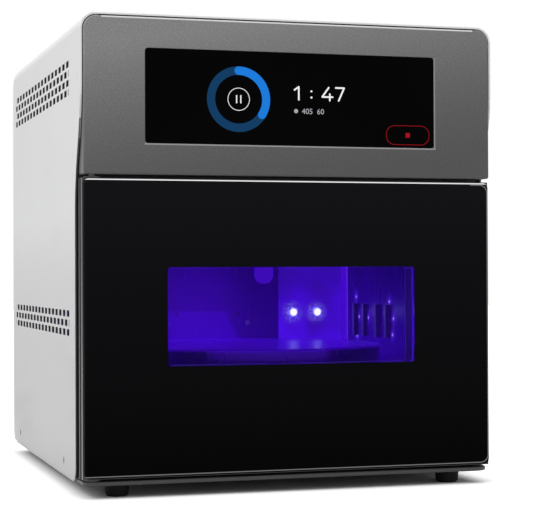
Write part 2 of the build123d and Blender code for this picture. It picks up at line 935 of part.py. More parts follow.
def lamp_places() -> list:
    """Centres of the two lamp openings in the chamber's back wall."""
    return [(-lamp_centre_x, lamp_centre_z), (lamp_centre_x, lamp_centre_z)]


with BuildPart() as chamber_liner:
    with BuildSketch(facing_front(frame_back)):
        with Locations((0, mouth_centre_z)):
            Rectangle(
                2 * (chamber_half_width + chamber_sheet),
                mouth_height + 2 * chamber_sheet,
            )
        with Locations((0, mouth_centre_z)):
            Rectangle(2 * chamber_half_width, mouth_height, mode=Mode.SUBTRACT)
    extrude(amount=frame_back - chamber_back_depth)
    with BuildSketch(Plane.YZ.offset(-half_width)):
        for depth in louvre_depths:
            with Locations((at_depth(depth), (louvre_low_z + louvre_high_z) / 2)):
                Rectangle(louvre_width, louvre_high_z - louvre_low_z)
    extrude(amount=overall_width, mode=Mode.SUBTRACT)
    with BuildSketch(Plane.XY.offset(chamber_ceiling_z)):
        with Locations((0, at_depth(ceiling_lamp_centre))):
            Rectangle(2 * ceiling_lamp_half_width, ceiling_lamp_length)
    extrude(amount=chamber_sheet, mode=Mode.SUBTRACT)
    with BuildSketch(Plane.XY.offset(chamber_floor_z)):
        with Locations((0, at_depth(platter_depth))):
            Circle(bush_outer)
    extrude(amount=-chamber_sheet, mode=Mode.SUBTRACT)
save(chamber_liner.part, "chamber_liner")

with BuildPart() as chamber_back:
    with BuildSketch(facing_front(lamp_back)):
        with Locations((0, mouth_centre_z)):
            Rectangle(
                2 * (chamber_half_width + chamber_sheet),
                mouth_height + 2 * chamber_sheet,
            )
        with Locations(*lamp_places()):
            Rectangle(lamp_width, lamp_height, mode=Mode.SUBTRACT)
        with Locations((0, chamber_fan_z)):
            with GridLocations(0, back_slot_pitch, 1, back_slot_count):
                Rectangle(back_slot_length, back_slot_height, mode=Mode.SUBTRACT)
            with GridLocations(fan_hole_spacing, fan_hole_spacing, 2, 2):
                Circle(fan_hole_radius, mode=Mode.SUBTRACT)
    extrude(amount=chamber_sheet)
save(chamber_back.part, "chamber_back")

with BuildPart() as louvre_hoods:
    louvre_height = louvre_high_z - louvre_low_z
    for side in (-1, 1):
        for depth in louvre_depths:
            wall_x = side * chamber_half_width
            lip_x = wall_x - side * hood_reach
            hood_front = at_depth(depth - louvre_width / 2 - hood_sheet)
            hood_back = at_depth(depth + louvre_width / 2)
            with BuildSketch(Plane.XY.offset(louvre_low_z - hood_sheet)):
                with BuildLine():
                    Line((wall_x, hood_front), (wall_x, hood_front + hood_sheet))
                    Spline(
                        (wall_x, hood_front + hood_sheet),
                        (lip_x, hood_back),
                        tangents=((-side, 0), (0, 1)),
                    )
                    Line((lip_x, hood_back), (lip_x - side * hood_sheet, hood_back))
                    Spline(
                        (lip_x - side * hood_sheet, hood_back),
                        (wall_x, hood_front),
                        tangents=((0, -1), (side, 0)),
                    )
                make_face()
            extrude(amount=louvre_height + 2 * hood_sheet)
save(louvre_hoods.part, "louvre_hoods")

with BuildPart() as chamber_sensor:
    with BuildSketch(facing_front(chamber_back_depth)) as shroud:
        with Locations((shroud_x, shroud_low_z)):
            Rectangle(shroud_width, shroud_high_z - shroud_low_z, align=(Align.CENTER, Align.MIN))
        fillet(shroud.vertices().group_by(Axis.Y)[0], radius=shroud_width / 2 - fit_gap)
    extrude(amount=shroud_thickness)
save(chamber_sensor.part, "chamber_sensor")


def fin_pitch(width: float) -> float:
    """Spacing of the fins that are spread over a heat sink of this width."""
    return (width - sink_fin_thickness) / (sink_fins - 1)


def wall_lamp(side: int) -> None:
    """Circuit board, lenses and finned heat sink of one lamp in the back wall."""
    name = "left" if side < 0 else "right"
    board_width = lamp_width + 2 * lamp_board_margin
    board_height = lamp_height + 2 * lamp_board_margin
    board_x = side * lamp_centre_x
    sink_face = lamp_back + board_thickness
    with BuildPart() as board:
        with BuildSketch(spot(board_x, lamp_back, lamp_centre_z)):
            Rectangle(board_width, board_height)
        extrude(amount=-board_thickness)
    save(board.part, f"rear_led_board_{name}")
    with BuildPart() as lenses:
        with BuildSketch(spot(side * lens_centre_x, lamp_back, lens_centre_z)):
            with GridLocations(lens_pitch_x, lens_pitch_z, lens_columns, lens_rows):
                Circle(lens_radius)
        extrude(amount=lens_height)
        chamfer(lenses.faces().group_by(Axis.Y)[0].edges(), length=lens_cone)
    save(lenses.part, f"rear_led_lenses_{name}")
    with BuildPart() as sink:
        with BuildSketch(spot(board_x, sink_face, lamp_centre_z)):
            Rectangle(board_width, board_height)
        extrude(amount=-sink_base)
        with BuildSketch(spot(board_x, sink_face, lamp_centre_z)):
            with GridLocations(fin_pitch(board_width), 0, sink_fins, 1):
                Rectangle(sink_fin_thickness, board_height)
        extrude(amount=-sink_base - sink_fin_height)
    save(sink.part, f"heat_sink_{name}")


wall_lamp(-1)
wall_lamp(1)

ceiling_board_width = 2 * (ceiling_lamp_half_width + lamp_board_margin)
ceiling_board_length = ceiling_lamp_length + 2 * lamp_board_margin
ceiling_sink_foot = ceiling_top + board_thickness

with BuildPart() as ceiling_led_board:
    with BuildSketch(Plane.XY.offset(ceiling_top)):
        with Locations((0, at_depth(ceiling_lamp_centre))):
            Rectangle(ceiling_board_width, ceiling_board_length)
    extrude(amount=board_thickness)
save(ceiling_led_board.part, "ceiling_led_board")

with BuildPart() as ceiling_led_lenses:
    with BuildSketch(Plane.XY.offset(ceiling_top)):
        with Locations((0, at_depth(ceiling_lamp_centre))):
            with GridLocations(ceiling_lens_pitch_x, ceiling_lens_pitch_y, 2, 2):
                Circle(lens_radius)
    extrude(amount=-lens_height)
    chamfer(ceiling_led_lenses.faces().group_by(Axis.Z)[0].edges(), length=lens_cone)
save(ceiling_led_lenses.part, "ceiling_led_lenses")

with BuildPart() as ceiling_heat_sink:
    with BuildSketch(Plane.XY.offset(ceiling_sink_foot)):
        with Locations((0, at_depth(ceiling_lamp_centre))):
            Rectangle(ceiling_board_width, ceiling_board_length)
    extrude(amount=sink_base)
    with BuildSketch(Plane.XY.offset(ceiling_sink_foot)):
        with Locations((0, at_depth(ceiling_lamp_centre))):
            with GridLocations(fin_pitch(ceiling_board_width), 0, sink_fins, 1):
                Rectangle(sink_fin_thickness, ceiling_board_length)
    extrude(amount=sink_base + ceiling_fin_height)
save(ceiling_heat_sink.part, "ceiling_heat_sink")

# Turntable


def on_spindle(z: float) -> Plane:
    """Level plane centred on the turntable's axis."""
    return Plane.XY.move(Location((0, at_depth(platter_depth), z)))


with BuildPart() as platter:
    with BuildSketch(on_spindle(platter_top_z)):
        Circle(platter_radius)
    extrude(amount=-platter_skirt)
    fillet(platter.faces().sort_by(Axis.Z)[-1].edges(), radius=platter_edge_round)
    with BuildSketch(on_spindle(platter_bottom)):
        Circle(platter_radius - platter_plate)
    extrude(amount=-platter_skirt, mode=Mode.SUBTRACT)
save(platter.part, "platter")

with BuildPart() as platter_hub:
    with BuildSketch(on_spindle(platter_bottom)):
        Circle(hub_flange_radius)
    extrude(amount=-hub_flange_height)
    with BuildSketch(on_spindle(hub_foot)):
        Circle(hub_boss_radius)
    extrude(amount=hub_boss_length)
    with BuildSketch(on_spindle(hub_foot)):
        Circle(shaft_radius)
    extrude(amount=hub_bore_depth, mode=Mode.SUBTRACT)
save(platter_hub.part, "platter_hub")

with BuildPart() as drive_shaft:
    with BuildSketch(on_spindle(shaft_foot)):
        Circle(shaft_radius)
    extrude(amount=shaft_top - shaft_foot)
save(drive_shaft.part, "drive_shaft")

with BuildPart() as shaft_bush:
    with BuildSketch(on_spindle(chamber_floor_z)):
        Circle(bush_collar)
    extrude(amount=bush_collar_height)
    with BuildSketch(on_spindle(motor_top - motor_seat_depth)):
        Circle(bush_outer)
    extrude(amount=motor_seat_depth + chamber_sheet)
    with BuildSketch(on_spindle(motor_top - motor_seat_depth)):
        Circle(shaft_radius + running_gap)
    extrude(amount=motor_height, mode=Mode.SUBTRACT)
save(shaft_bush.part, "shaft_bush")

with BuildPart() as turntable_motor:
    with BuildSketch(on_spindle(motor_top)):
        Circle(motor_radius)
    extrude(amount=-motor_height)
    with BuildSketch(on_spindle(motor_top)):
        SlotCenterToCenter(2 * motor_ear_spread, 2 * motor_ear_radius)
        with GridLocations(2 * motor_ear_spread, 0, 2, 1):
            Circle(motor_ear_hole, mode=Mode.SUBTRACT)
    extrude(amount=-motor_ear_height)
    with BuildSketch(on_spindle(motor_top)):
        Circle(bush_outer)
    extrude(amount=-motor_seat_depth, mode=Mode.SUBTRACT)
    with BuildSketch(on_spindle(motor_top)):
        Circle(shaft_radius + running_gap)
    extrude(amount=-motor_pocket, mode=Mode.SUBTRACT)
save(turntable_motor.part, "turntable_motor")

# Fans


def fan_housing(base: Plane, label: str) -> None:
    """Square fan frame whose struts lie on base and whose open side faces along its normal."""
    with BuildPart() as housing:
        with BuildSketch(base):
            RectangleRounded(fan_size, fan_size, fan_corner)
        extrude(amount=fan_flange)
        with BuildSketch(base.offset(fan_depth)):
            RectangleRounded(fan_size, fan_size, fan_corner)
        extrude(amount=-fan_flange)
        with BuildSketch(base):
            Circle(fan_size / 2)
        extrude(amount=fan_depth)
        with BuildSketch(base):
            Circle(fan_bore)
        extrude(amount=fan_depth, mode=Mode.SUBTRACT)
        with BuildSketch(base):
            Circle(fan_hub_radius)
            with Locations(Rotation(0, 0, fan_strut_angle)):
                Rectangle(2 * fan_bore + fan_barrel_wall, fan_strut_width)
                Rectangle(fan_strut_width, 2 * fan_bore + fan_barrel_wall)
        extrude(amount=fan_strut_height)
        with BuildSketch(base.offset(fan_strut_height)):
            Circle(fan_spindle_radius)
        extrude(amount=fan_spindle_length)
        with BuildSketch(base):
            with GridLocations(fan_hole_spacing, fan_hole_spacing, 2, 2):
                Circle(fan_hole_radius)
        extrude(amount=fan_depth, mode=Mode.SUBTRACT)
    save(housing.part, label)


with BuildPart() as fan_blade:
    blade_stations = (
        (fan_hub_radius - fan_blade_thickness, fan_root_pitch),
        (fan_radius, fan_tip_pitch),
    )
    for radius, pitch in blade_stations:
        blade_centre = fan_strut_height + seat_gap + fan_hub_length / 2
        with BuildSketch(Plane(origin=(radius, 0, blade_centre), x_dir=(0, 1, 0), z_dir=(1, 0, 0))):
            Rectangle(fan_blade_chord, fan_blade_thickness, rotation=pitch)
    loft()


def fan_rotor(base: Plane, label: str) -> None:
    """Hub and pitched blades that turn on the spindle of the housing on base."""
    hub_foot_height = fan_strut_height + seat_gap
    with BuildPart(base) as rotor:
        with BuildSketch(base.offset(hub_foot_height)):
            Circle(fan_hub_radius)
        extrude(amount=fan_hub_length)
        with PolarLocations(0, fan_blades):
            add(fan_blade.part)
        with BuildSketch(base.offset(hub_foot_height)):
            Circle(fan_spindle_radius + running_gap)
        extrude(amount=fan_spindle_length, mode=Mode.SUBTRACT)
    save(rotor.part, label)


chamber_fan_base = spot(0, lamp_back + fan_depth, chamber_fan_z)
exhaust_fan_base = spot(0, rear_inner, exhaust_fan_z)
fan_housing(chamber_fan_base, "chamber_fan_housing")
fan_housing(exhaust_fan_base, "exhaust_fan_housing")
fan_rotor(chamber_fan_base, "chamber_fan_rotor")
fan_rotor(exhaust_fan_base, "exhaust_fan_rotor")


with BuildPart() as fan_screws:
    for seat, length in (
        (chamber_fan_base, fan_depth + chamber_sheet),
        (spot(0, rear_face, exhaust_fan_z), fan_short_screw),
    ):
        with BuildSketch(seat):
            with GridLocations(fan_hole_spacing, fan_hole_spacing, 2, 2):
                Circle(fan_screw_head)
        extrude(amount=-fan_screw_head_height)
        with BuildSketch(seat):
            with GridLocations(fan_hole_spacing, fan_hole_spacing, 2, 2):
                Circle(fan_screw_radius)
        extrude(amount=length)
save(fan_screws.part, "fan_screws")

# Power
with BuildPart() as power_inlet:
    with BuildSketch(spot(inlet_x, casing_face, inlet_z)):
        RectangleRounded(inlet_flange_width, inlet_flange_height, inlet_flange_corner)
    extrude(amount=inlet_flange_thickness)
    with BuildSketch(spot(inlet_x, rear_face, inlet_z)):
        Rectangle(inlet_body_width, inlet_body_height)
    extrude(amount=inlet_body_depth)
    with BuildSketch(spot(inlet_x, casing_face, inlet_z)) as socket:
        Rectangle(inlet_socket_width, inlet_socket_height)
        chamfer(socket.vertices().group_by(Axis.Y)[-1], length=inlet_corner)
    extrude(amount=inlet_socket_depth, mode=Mode.SUBTRACT)
save(power_inlet.part, "power_inlet")

with BuildPart() as inlet_pins:
    with BuildSketch(spot(inlet_x, casing_face - inlet_socket_depth, inlet_z)):
        with Locations((-blade_spread, -blade_drop), (0, blade_drop), (blade_spread, -blade_drop)):
            Rectangle(blade_width, blade_height)
    extrude(amount=-blade_length)
save(inlet_pins.part, "inlet_pins")

with BuildPart() as rocker_frame:
    with BuildSketch(spot(rocker_x, casing_face, inlet_z)):
        RectangleRounded(rocker_frame_width, rocker_frame_height, inlet_flange_corner)
    extrude(amount=inlet_flange_thickness)
    with BuildSketch(spot(rocker_x, rear_face, inlet_z)):
        Rectangle(rocker_body_width, rocker_body_height)
    extrude(amount=rocker_body_depth)
    with BuildSketch(spot(rocker_x, casing_face, inlet_z)):
        Rectangle(rocker_well_width, rocker_well_height)
    extrude(amount=rocker_well_depth, mode=Mode.SUBTRACT)
    with BuildSketch(Plane.YZ.offset(rocker_x - rocker_pivot_reach - fit_gap)):
        with Locations((at_depth(rocker_pivot_depth), inlet_z)):
            Circle(rocker_pivot_radius + running_gap)
    extrude(amount=2 * (rocker_pivot_reach + fit_gap), mode=Mode.SUBTRACT)
save(rocker_frame.part, "rocker_frame")

with BuildPart() as power_rocker:
    rocker_origin = Location((rocker_x, at_depth(rocker_pivot_depth), inlet_z))
    rocker_side = Plane(rocker_origin * Location((0, 0, 0), (rocker_tilt, 0, 0)) * Location(Plane.YZ))
    with BuildSketch(rocker_side.offset(-rocker_width / 2)):
        with BuildLine():
            Polyline(
                (rocker_crown, -rocker_height / 2),
                (rocker_dip, 0),
                (rocker_crown, rocker_height / 2),
                (0, rocker_height / 2),
                (-rocker_back, rocker_back_height / 2),
                (-rocker_back, -rocker_back_height / 2),
                (0, -rocker_height / 2),
                close=True,
            )
        make_face()
    extrude(amount=rocker_width)
    with BuildSketch(rocker_side.offset(-rocker_pivot_reach)):
        Circle(rocker_pivot_radius)
    extrude(amount=2 * rocker_pivot_reach)
save(power_rocker.part, "power_rocker")

with BuildPart() as power_supply:
    with BuildSketch(Plane.YZ.offset(-supply_width / 2)):
        with BuildLine():
            Polyline(
                (at_depth(supply_front_depth), pan_top_z),
                (at_depth(supply_back), pan_top_z),
                (at_depth(supply_back), pan_top_z + supply_terminal_height),
                (at_depth(supply_back - supply_shelf), pan_top_z + supply_terminal_height),
                (at_depth(supply_back - supply_shelf), pan_top_z + supply_height),
                (at_depth(supply_front_depth), pan_top_z + supply_height),
                close=True,
            )
        make_face()
    extrude(amount=supply_width)
    with BuildSketch(Plane.XY.offset(pan_top_z + supply_height)):
        with Locations((0, at_depth(supply_front_depth + (supply_length - supply_shelf) / 2))):
            with GridLocations(
                supply_vent_pitch, supply_vent_pitch, supply_vent_columns, supply_vent_rows
            ):
                RegularPolygon(supply_vent_radius, supply_vent_sides)
    extrude(amount=-supply_vent_depth, mode=Mode.SUBTRACT)
save(power_supply.part, "power_supply")

with BuildPart() as mains_lead:
    inlet_back = rear_face - inlet_body_depth
    lead_start = (inlet_x, at_depth(inlet_back), inlet_z)
    with BuildLine() as lead_route:
        FilletPolyline(
            lead_start,
            (inlet_x, at_depth(inlet_back - lead_drop_run), inlet_z),
            (inlet_x, at_depth(inlet_back - lead_drop_run), lead_z),
            (lead_x, at_depth(supply_back + lead_turn_run), lead_z),
            (lead_x, at_depth(supply_back), lead_z),
            radius=lead_bend,
        )
    with BuildSketch(Plane(origin=lead_start, z_dir=(0, -1, 0))):
        Circle(lead_radius)
    sweep(path=lead_route.line)
save(mains_lead.part, "mains_lead")

# Hinge
with BuildPart() as upper_hinge_bracket:
    bracket_side = panel_half_width - panel_wall - fit_gap
    with BuildSketch(Plane.XY.offset(bracket_foot_z)):
        with Locations((-bracket_side, at_depth(panel_wall + fit_gap))):
            Rectangle(bracket_length, bulkhead_depth - panel_wall - fit_gap, align=Align.MIN)
        with Locations((hinge_x, at_depth(hinge_depth))):
            Circle(pin_radius, mode=Mode.SUBTRACT)
    extrude(amount=bracket_plate)
    with BuildSketch(facing_front(bulkhead_depth)):
        with Locations((-bracket_side, bracket_foot_z)):
            Rectangle(bracket_length, bracket_rise, align=Align.MIN)
    extrude(amount=bracket_plate)
save(upper_hinge_bracket.part, "upper_hinge_bracket")


def on_hinge(z: float) -> Plane:
    """Level plane centred on the door's hinge axis."""
    return Plane.XY.move(Location((hinge_x, at_depth(hinge_depth), z)))


with BuildPart() as hinge_pins:
    with BuildSketch(on_hinge(foot_height)):
        Circle(pin_radius)
    extrude(amount=door_foot_z + pin_engagement - foot_height)
    with BuildSketch(on_hinge(bracket_foot_z + bracket_plate)):
        Circle(pin_radius)
    extrude(amount=door_top_z - pin_engagement - bracket_foot_z - bracket_plate)
    with BuildSketch(on_hinge(bracket_foot_z + bracket_plate)):
        Circle(pin_head_radius)
    extrude(amount=pin_head_height)
save(hinge_pins.part, "hinge_pins")

with BuildPart() as door_bushes:
    for mouth_z, inward in ((door_foot_z, 1), (door_top_z, -1)):
        with BuildSketch(on_hinge(mouth_z)):
            Circle(bush_flange_radius)
        extrude(amount=-inward * bush_flange_height)
        with BuildSketch(on_hinge(mouth_z)):
            Circle(bush_radius)
        extrude(amount=inward * bush_length)
        with BuildSketch(on_hinge(mouth_z - inward * bush_flange_height)):
            Circle(pin_radius + running_gap)
        extrude(amount=inward * (bush_length + bush_flange_height), mode=Mode.SUBTRACT)
save(door_bushes.part, "door_bushes")

# Door


def door_screw_places() -> list:
    """Centres of the screws that hold the door's inner sheet."""
    places = []
    for height in (door_foot_z + door_screw_inset_z, door_top_z - door_screw_inset_z):
        for number in (-1, 0, 1):
            places.append((number * door_screw_pitch, height))
    return places


with BuildPart() as door_frame:
    waist_x = door_half_width - door_waist_inset
    groove_x = door_half_width - door_groove_inset
    groove_front = at_depth(door_groove_depth)
    groove_back = at_depth(door_groove_depth + door_groove_width)
    face_back = at_depth(door_face_thickness)
    with BuildSketch(Plane.XY.offset(door_foot_z)) as door_plan:
        with BuildLine():
            Polyline(
                (-waist_x, face_back),
                (waist_x, face_back),
                (waist_x, groove_front),
                (groove_x, groove_front),
                (groove_x, groove_back),
                (door_half_width, groove_back),
                (door_half_width, at_depth(door_depth)),
                (-door_half_width, at_depth(door_depth)),
                (-door_half_width, groove_back),
                (-groove_x, groove_back),
                (-groove_x, groove_front),
                (-waist_x, groove_front),
                close=True,
            )
        make_face()
        fillet(door_plan.vertices().group_by(Axis.Y)[-1].sort_by(Axis.X)[0], radius=door_hinge_round)
        fillet(door_plan.vertices().group_by(Axis.Y)[-1].sort_by(Axis.X)[-1], radius=door_swing_round)
    extrude(amount=door_height)
    pocket_side = door_half_width - hinge_block_width
    with BuildSketch(facing_front(door_depth)):
        with Locations((0, door_centre_z)):
            Rectangle(2 * pocket_side, door_height - 2 * door_wall)
        with Locations((0, window_centre_z)):
            Rectangle(
                window_width + 2 * (pane_flange + door_wall),
                window_height + 2 * (pane_flange + door_wall),
                mode=Mode.SUBTRACT,
            )
            with GridLocations(window_width / (door_ribs - 1), 0, door_ribs, 1):
                Rectangle(door_rib, 2 * door_height, mode=Mode.SUBTRACT)
        with Locations(*door_screw_places()):
            Circle(door_boss_radius, mode=Mode.SUBTRACT)
    extrude(amount=door_depth - door_face_thickness - door_web, mode=Mode.SUBTRACT)
    with BuildSketch(facing_front(door_depth)):
        with Locations((0, door_centre_z)):
            Rectangle(2 * door_liner_half_width, door_height - 2 * door_liner_margin)
    extrude(amount=liner_sheet, mode=Mode.SUBTRACT)
    with BuildSketch(facing_front(door_depth)):
        with Locations((0, window_centre_z)):
            RectangleRounded(window_width, window_height, window_corner)
    extrude(amount=door_depth, mode=Mode.SUBTRACT)
    with BuildSketch(facing_front(door_face_thickness)):
        with Locations((0, window_centre_z)):
            Rectangle(window_width + 2 * pane_flange, window_height + 2 * pane_flange)
    extrude(amount=-pane_flange_thickness, mode=Mode.SUBTRACT)
    with BuildSketch(facing_front(lid_depth)):
        with Locations(*door_screw_places()):
            Circle(door_screw_radius)
    extrude(amount=door_screw_length - liner_sheet, mode=Mode.SUBTRACT)
    with BuildSketch(facing_front(door_depth)):
        with Locations(*[(magnet_offset_x, height) for height in magnet_heights]):
            Circle(magnet_radius)
    extrude(amount=magnet_length, mode=Mode.SUBTRACT)
    with BuildSketch(facing_front(door_depth)):
        with Locations((sensor_x, sensor_z)):
            Circle(sensor_magnet_radius)
    extrude(amount=sensor_magnet_length, mode=Mode.SUBTRACT)
    for mouth_z, inward in ((door_foot_z, 1), (door_top_z, -1)):
        with BuildSketch(on_hinge(mouth_z)):
            Circle(bush_radius)
        extrude(amount=inward * bush_length, mode=Mode.SUBTRACT)
save(door_frame.part, "door_frame")

with BuildPart() as door_front:
    with BuildSketch(facing_front(0)):
        with Locations((0, door_centre_z)):
            RectangleRounded(
                2 * (door_half_width - door_face_inset),
                door_height - 2 * door_face_end_inset,
                door_face_corner,
            )
    extrude(amount=-door_face_thickness)
    fillet(door_front.faces().sort_by(Axis.Y)[0].edges(), radius=door_face_round)
    with BuildSketch(facing_front(0)):
        with Locations((0, window_centre_z)):
            RectangleRounded(window_width, window_height, window_corner)
    extrude(amount=-door_face_thickness, mode=Mode.SUBTRACT)
save(door_front.part, "door_front")

with BuildPart() as window_pane:
    with BuildSketch(facing_front(0)):
        with Locations((0, window_centre_z)):
            RectangleRounded(
                window_width - 2 * fit_gap,
                window_height - 2 * fit_gap,
                window_corner - fit_gap,
            )
    extrude(amount=-door_face_thickness)
    fillet(window_pane.faces().sort_by(Axis.Y)[0].edges(), radius=pane_round)
    with BuildSketch(facing_front(door_face_thickness)):
        with Locations((0, window_centre_z)):
            Rectangle(
                window_width + 2 * (pane_flange - fit_gap),
                window_height + 2 * (pane_flange - fit_gap),
            )
    extrude(amount=-pane_flange_thickness)
save(window_pane.part, "window_pane")

with BuildPart() as door_liner:
    with BuildSketch(facing_front(lid_depth)):
        with Locations((0, door_centre_z)):
            Rectangle(
                2 * (door_liner_half_width - fit_gap),
                door_height - 2 * (door_liner_margin + fit_gap),
            )
        with Locations((0, window_centre_z)):
            RectangleRounded(window_width, window_height, window_corner, mode=Mode.SUBTRACT)
        with Locations(*door_screw_places()):
            Circle(door_screw_radius, mode=Mode.SUBTRACT)
    extrude(amount=-liner_sheet)
save(door_liner.part, "door_liner")

with BuildPart() as door_screws:
    with BuildSketch(facing_front(door_depth)):
        with Locations(*door_screw_places()):
            Circle(door_screw_head)
    extrude(amount=-door_screw_head_height)
    with BuildSketch(facing_front(door_depth)):
        with Locations(*door_screw_places()):
            Circle(door_screw_radius)
    extrude(amount=door_screw_length)
save(door_screws.part, "door_screws")

with BuildPart() as door_magnets:
    with BuildSketch(facing_front(door_depth)):
        with Locations(*[(magnet_offset_x, height) for height in magnet_heights]):
            Circle(magnet_radius)
    extrude(amount=magnet_length)
save(door_magnets.part, "door_magnets")

with BuildPart() as sensor_magnet:
    with BuildSketch(facing_front(door_depth)):
        with Locations((sensor_x, sensor_z)):
            Circle(sensor_magnet_radius)
    extrude(amount=sensor_magnet_length)
save(sensor_magnet.part, "sensor_magnet")
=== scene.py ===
"""Visual model of a countertop light curing chamber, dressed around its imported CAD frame."""

import logging
import math
from collections.abc import Callable, Iterator
from contextlib import contextmanager
from dataclasses import dataclass, field
from enum import Enum
from functools import cache

import bpy
from bpy.types import Material, Node, NodeSocket, NodeTree, Object
from mathutils import Matrix, Vector


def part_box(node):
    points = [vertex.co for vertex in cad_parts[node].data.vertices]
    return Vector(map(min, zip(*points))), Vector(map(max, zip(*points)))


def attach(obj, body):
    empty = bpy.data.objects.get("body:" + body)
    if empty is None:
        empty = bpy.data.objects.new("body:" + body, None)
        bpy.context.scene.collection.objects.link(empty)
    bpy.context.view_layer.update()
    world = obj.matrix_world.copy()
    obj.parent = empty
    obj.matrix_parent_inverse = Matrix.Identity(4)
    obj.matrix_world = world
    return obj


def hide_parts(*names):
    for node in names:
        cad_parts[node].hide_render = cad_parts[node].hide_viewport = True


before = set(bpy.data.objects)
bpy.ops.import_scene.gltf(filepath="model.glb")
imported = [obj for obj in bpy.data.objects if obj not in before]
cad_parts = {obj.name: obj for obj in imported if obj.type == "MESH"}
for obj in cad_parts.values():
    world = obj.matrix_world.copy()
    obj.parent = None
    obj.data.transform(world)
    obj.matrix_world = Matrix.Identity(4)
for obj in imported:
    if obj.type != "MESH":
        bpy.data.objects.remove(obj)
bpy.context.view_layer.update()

log = logging.getLogger("curing_chamber")

MM = 0.001
Colour = tuple[float, float, float]
Point = tuple[float, float, float]
Span = tuple[float, float]
Flat = tuple[float, float]
Head = tuple[Point, Point]

BLACK = (0.0, 0.0, 0.0)
WHITE = (1.0, 1.0, 1.0)
IMAGE_WIDTH = 535
SENSOR_WIDTH = 36.0


class Axis(Enum):
    """The axes that a brushed grain can follow."""

    X = 0
    Y = 1
    Z = 2


class Body(Enum):
    """Bodies of the frame that a piece can ride on."""

    CABINET = "cabinet"
    DOOR = "door"
    TURNTABLE = "turntable"
    ROCKER = "rocker"


# Shader graph helpers


def shaded(colour: Colour, share: float) -> Colour:
    """A colour with each channel multiplied by a share."""
    return tuple(channel * share for channel in colour)


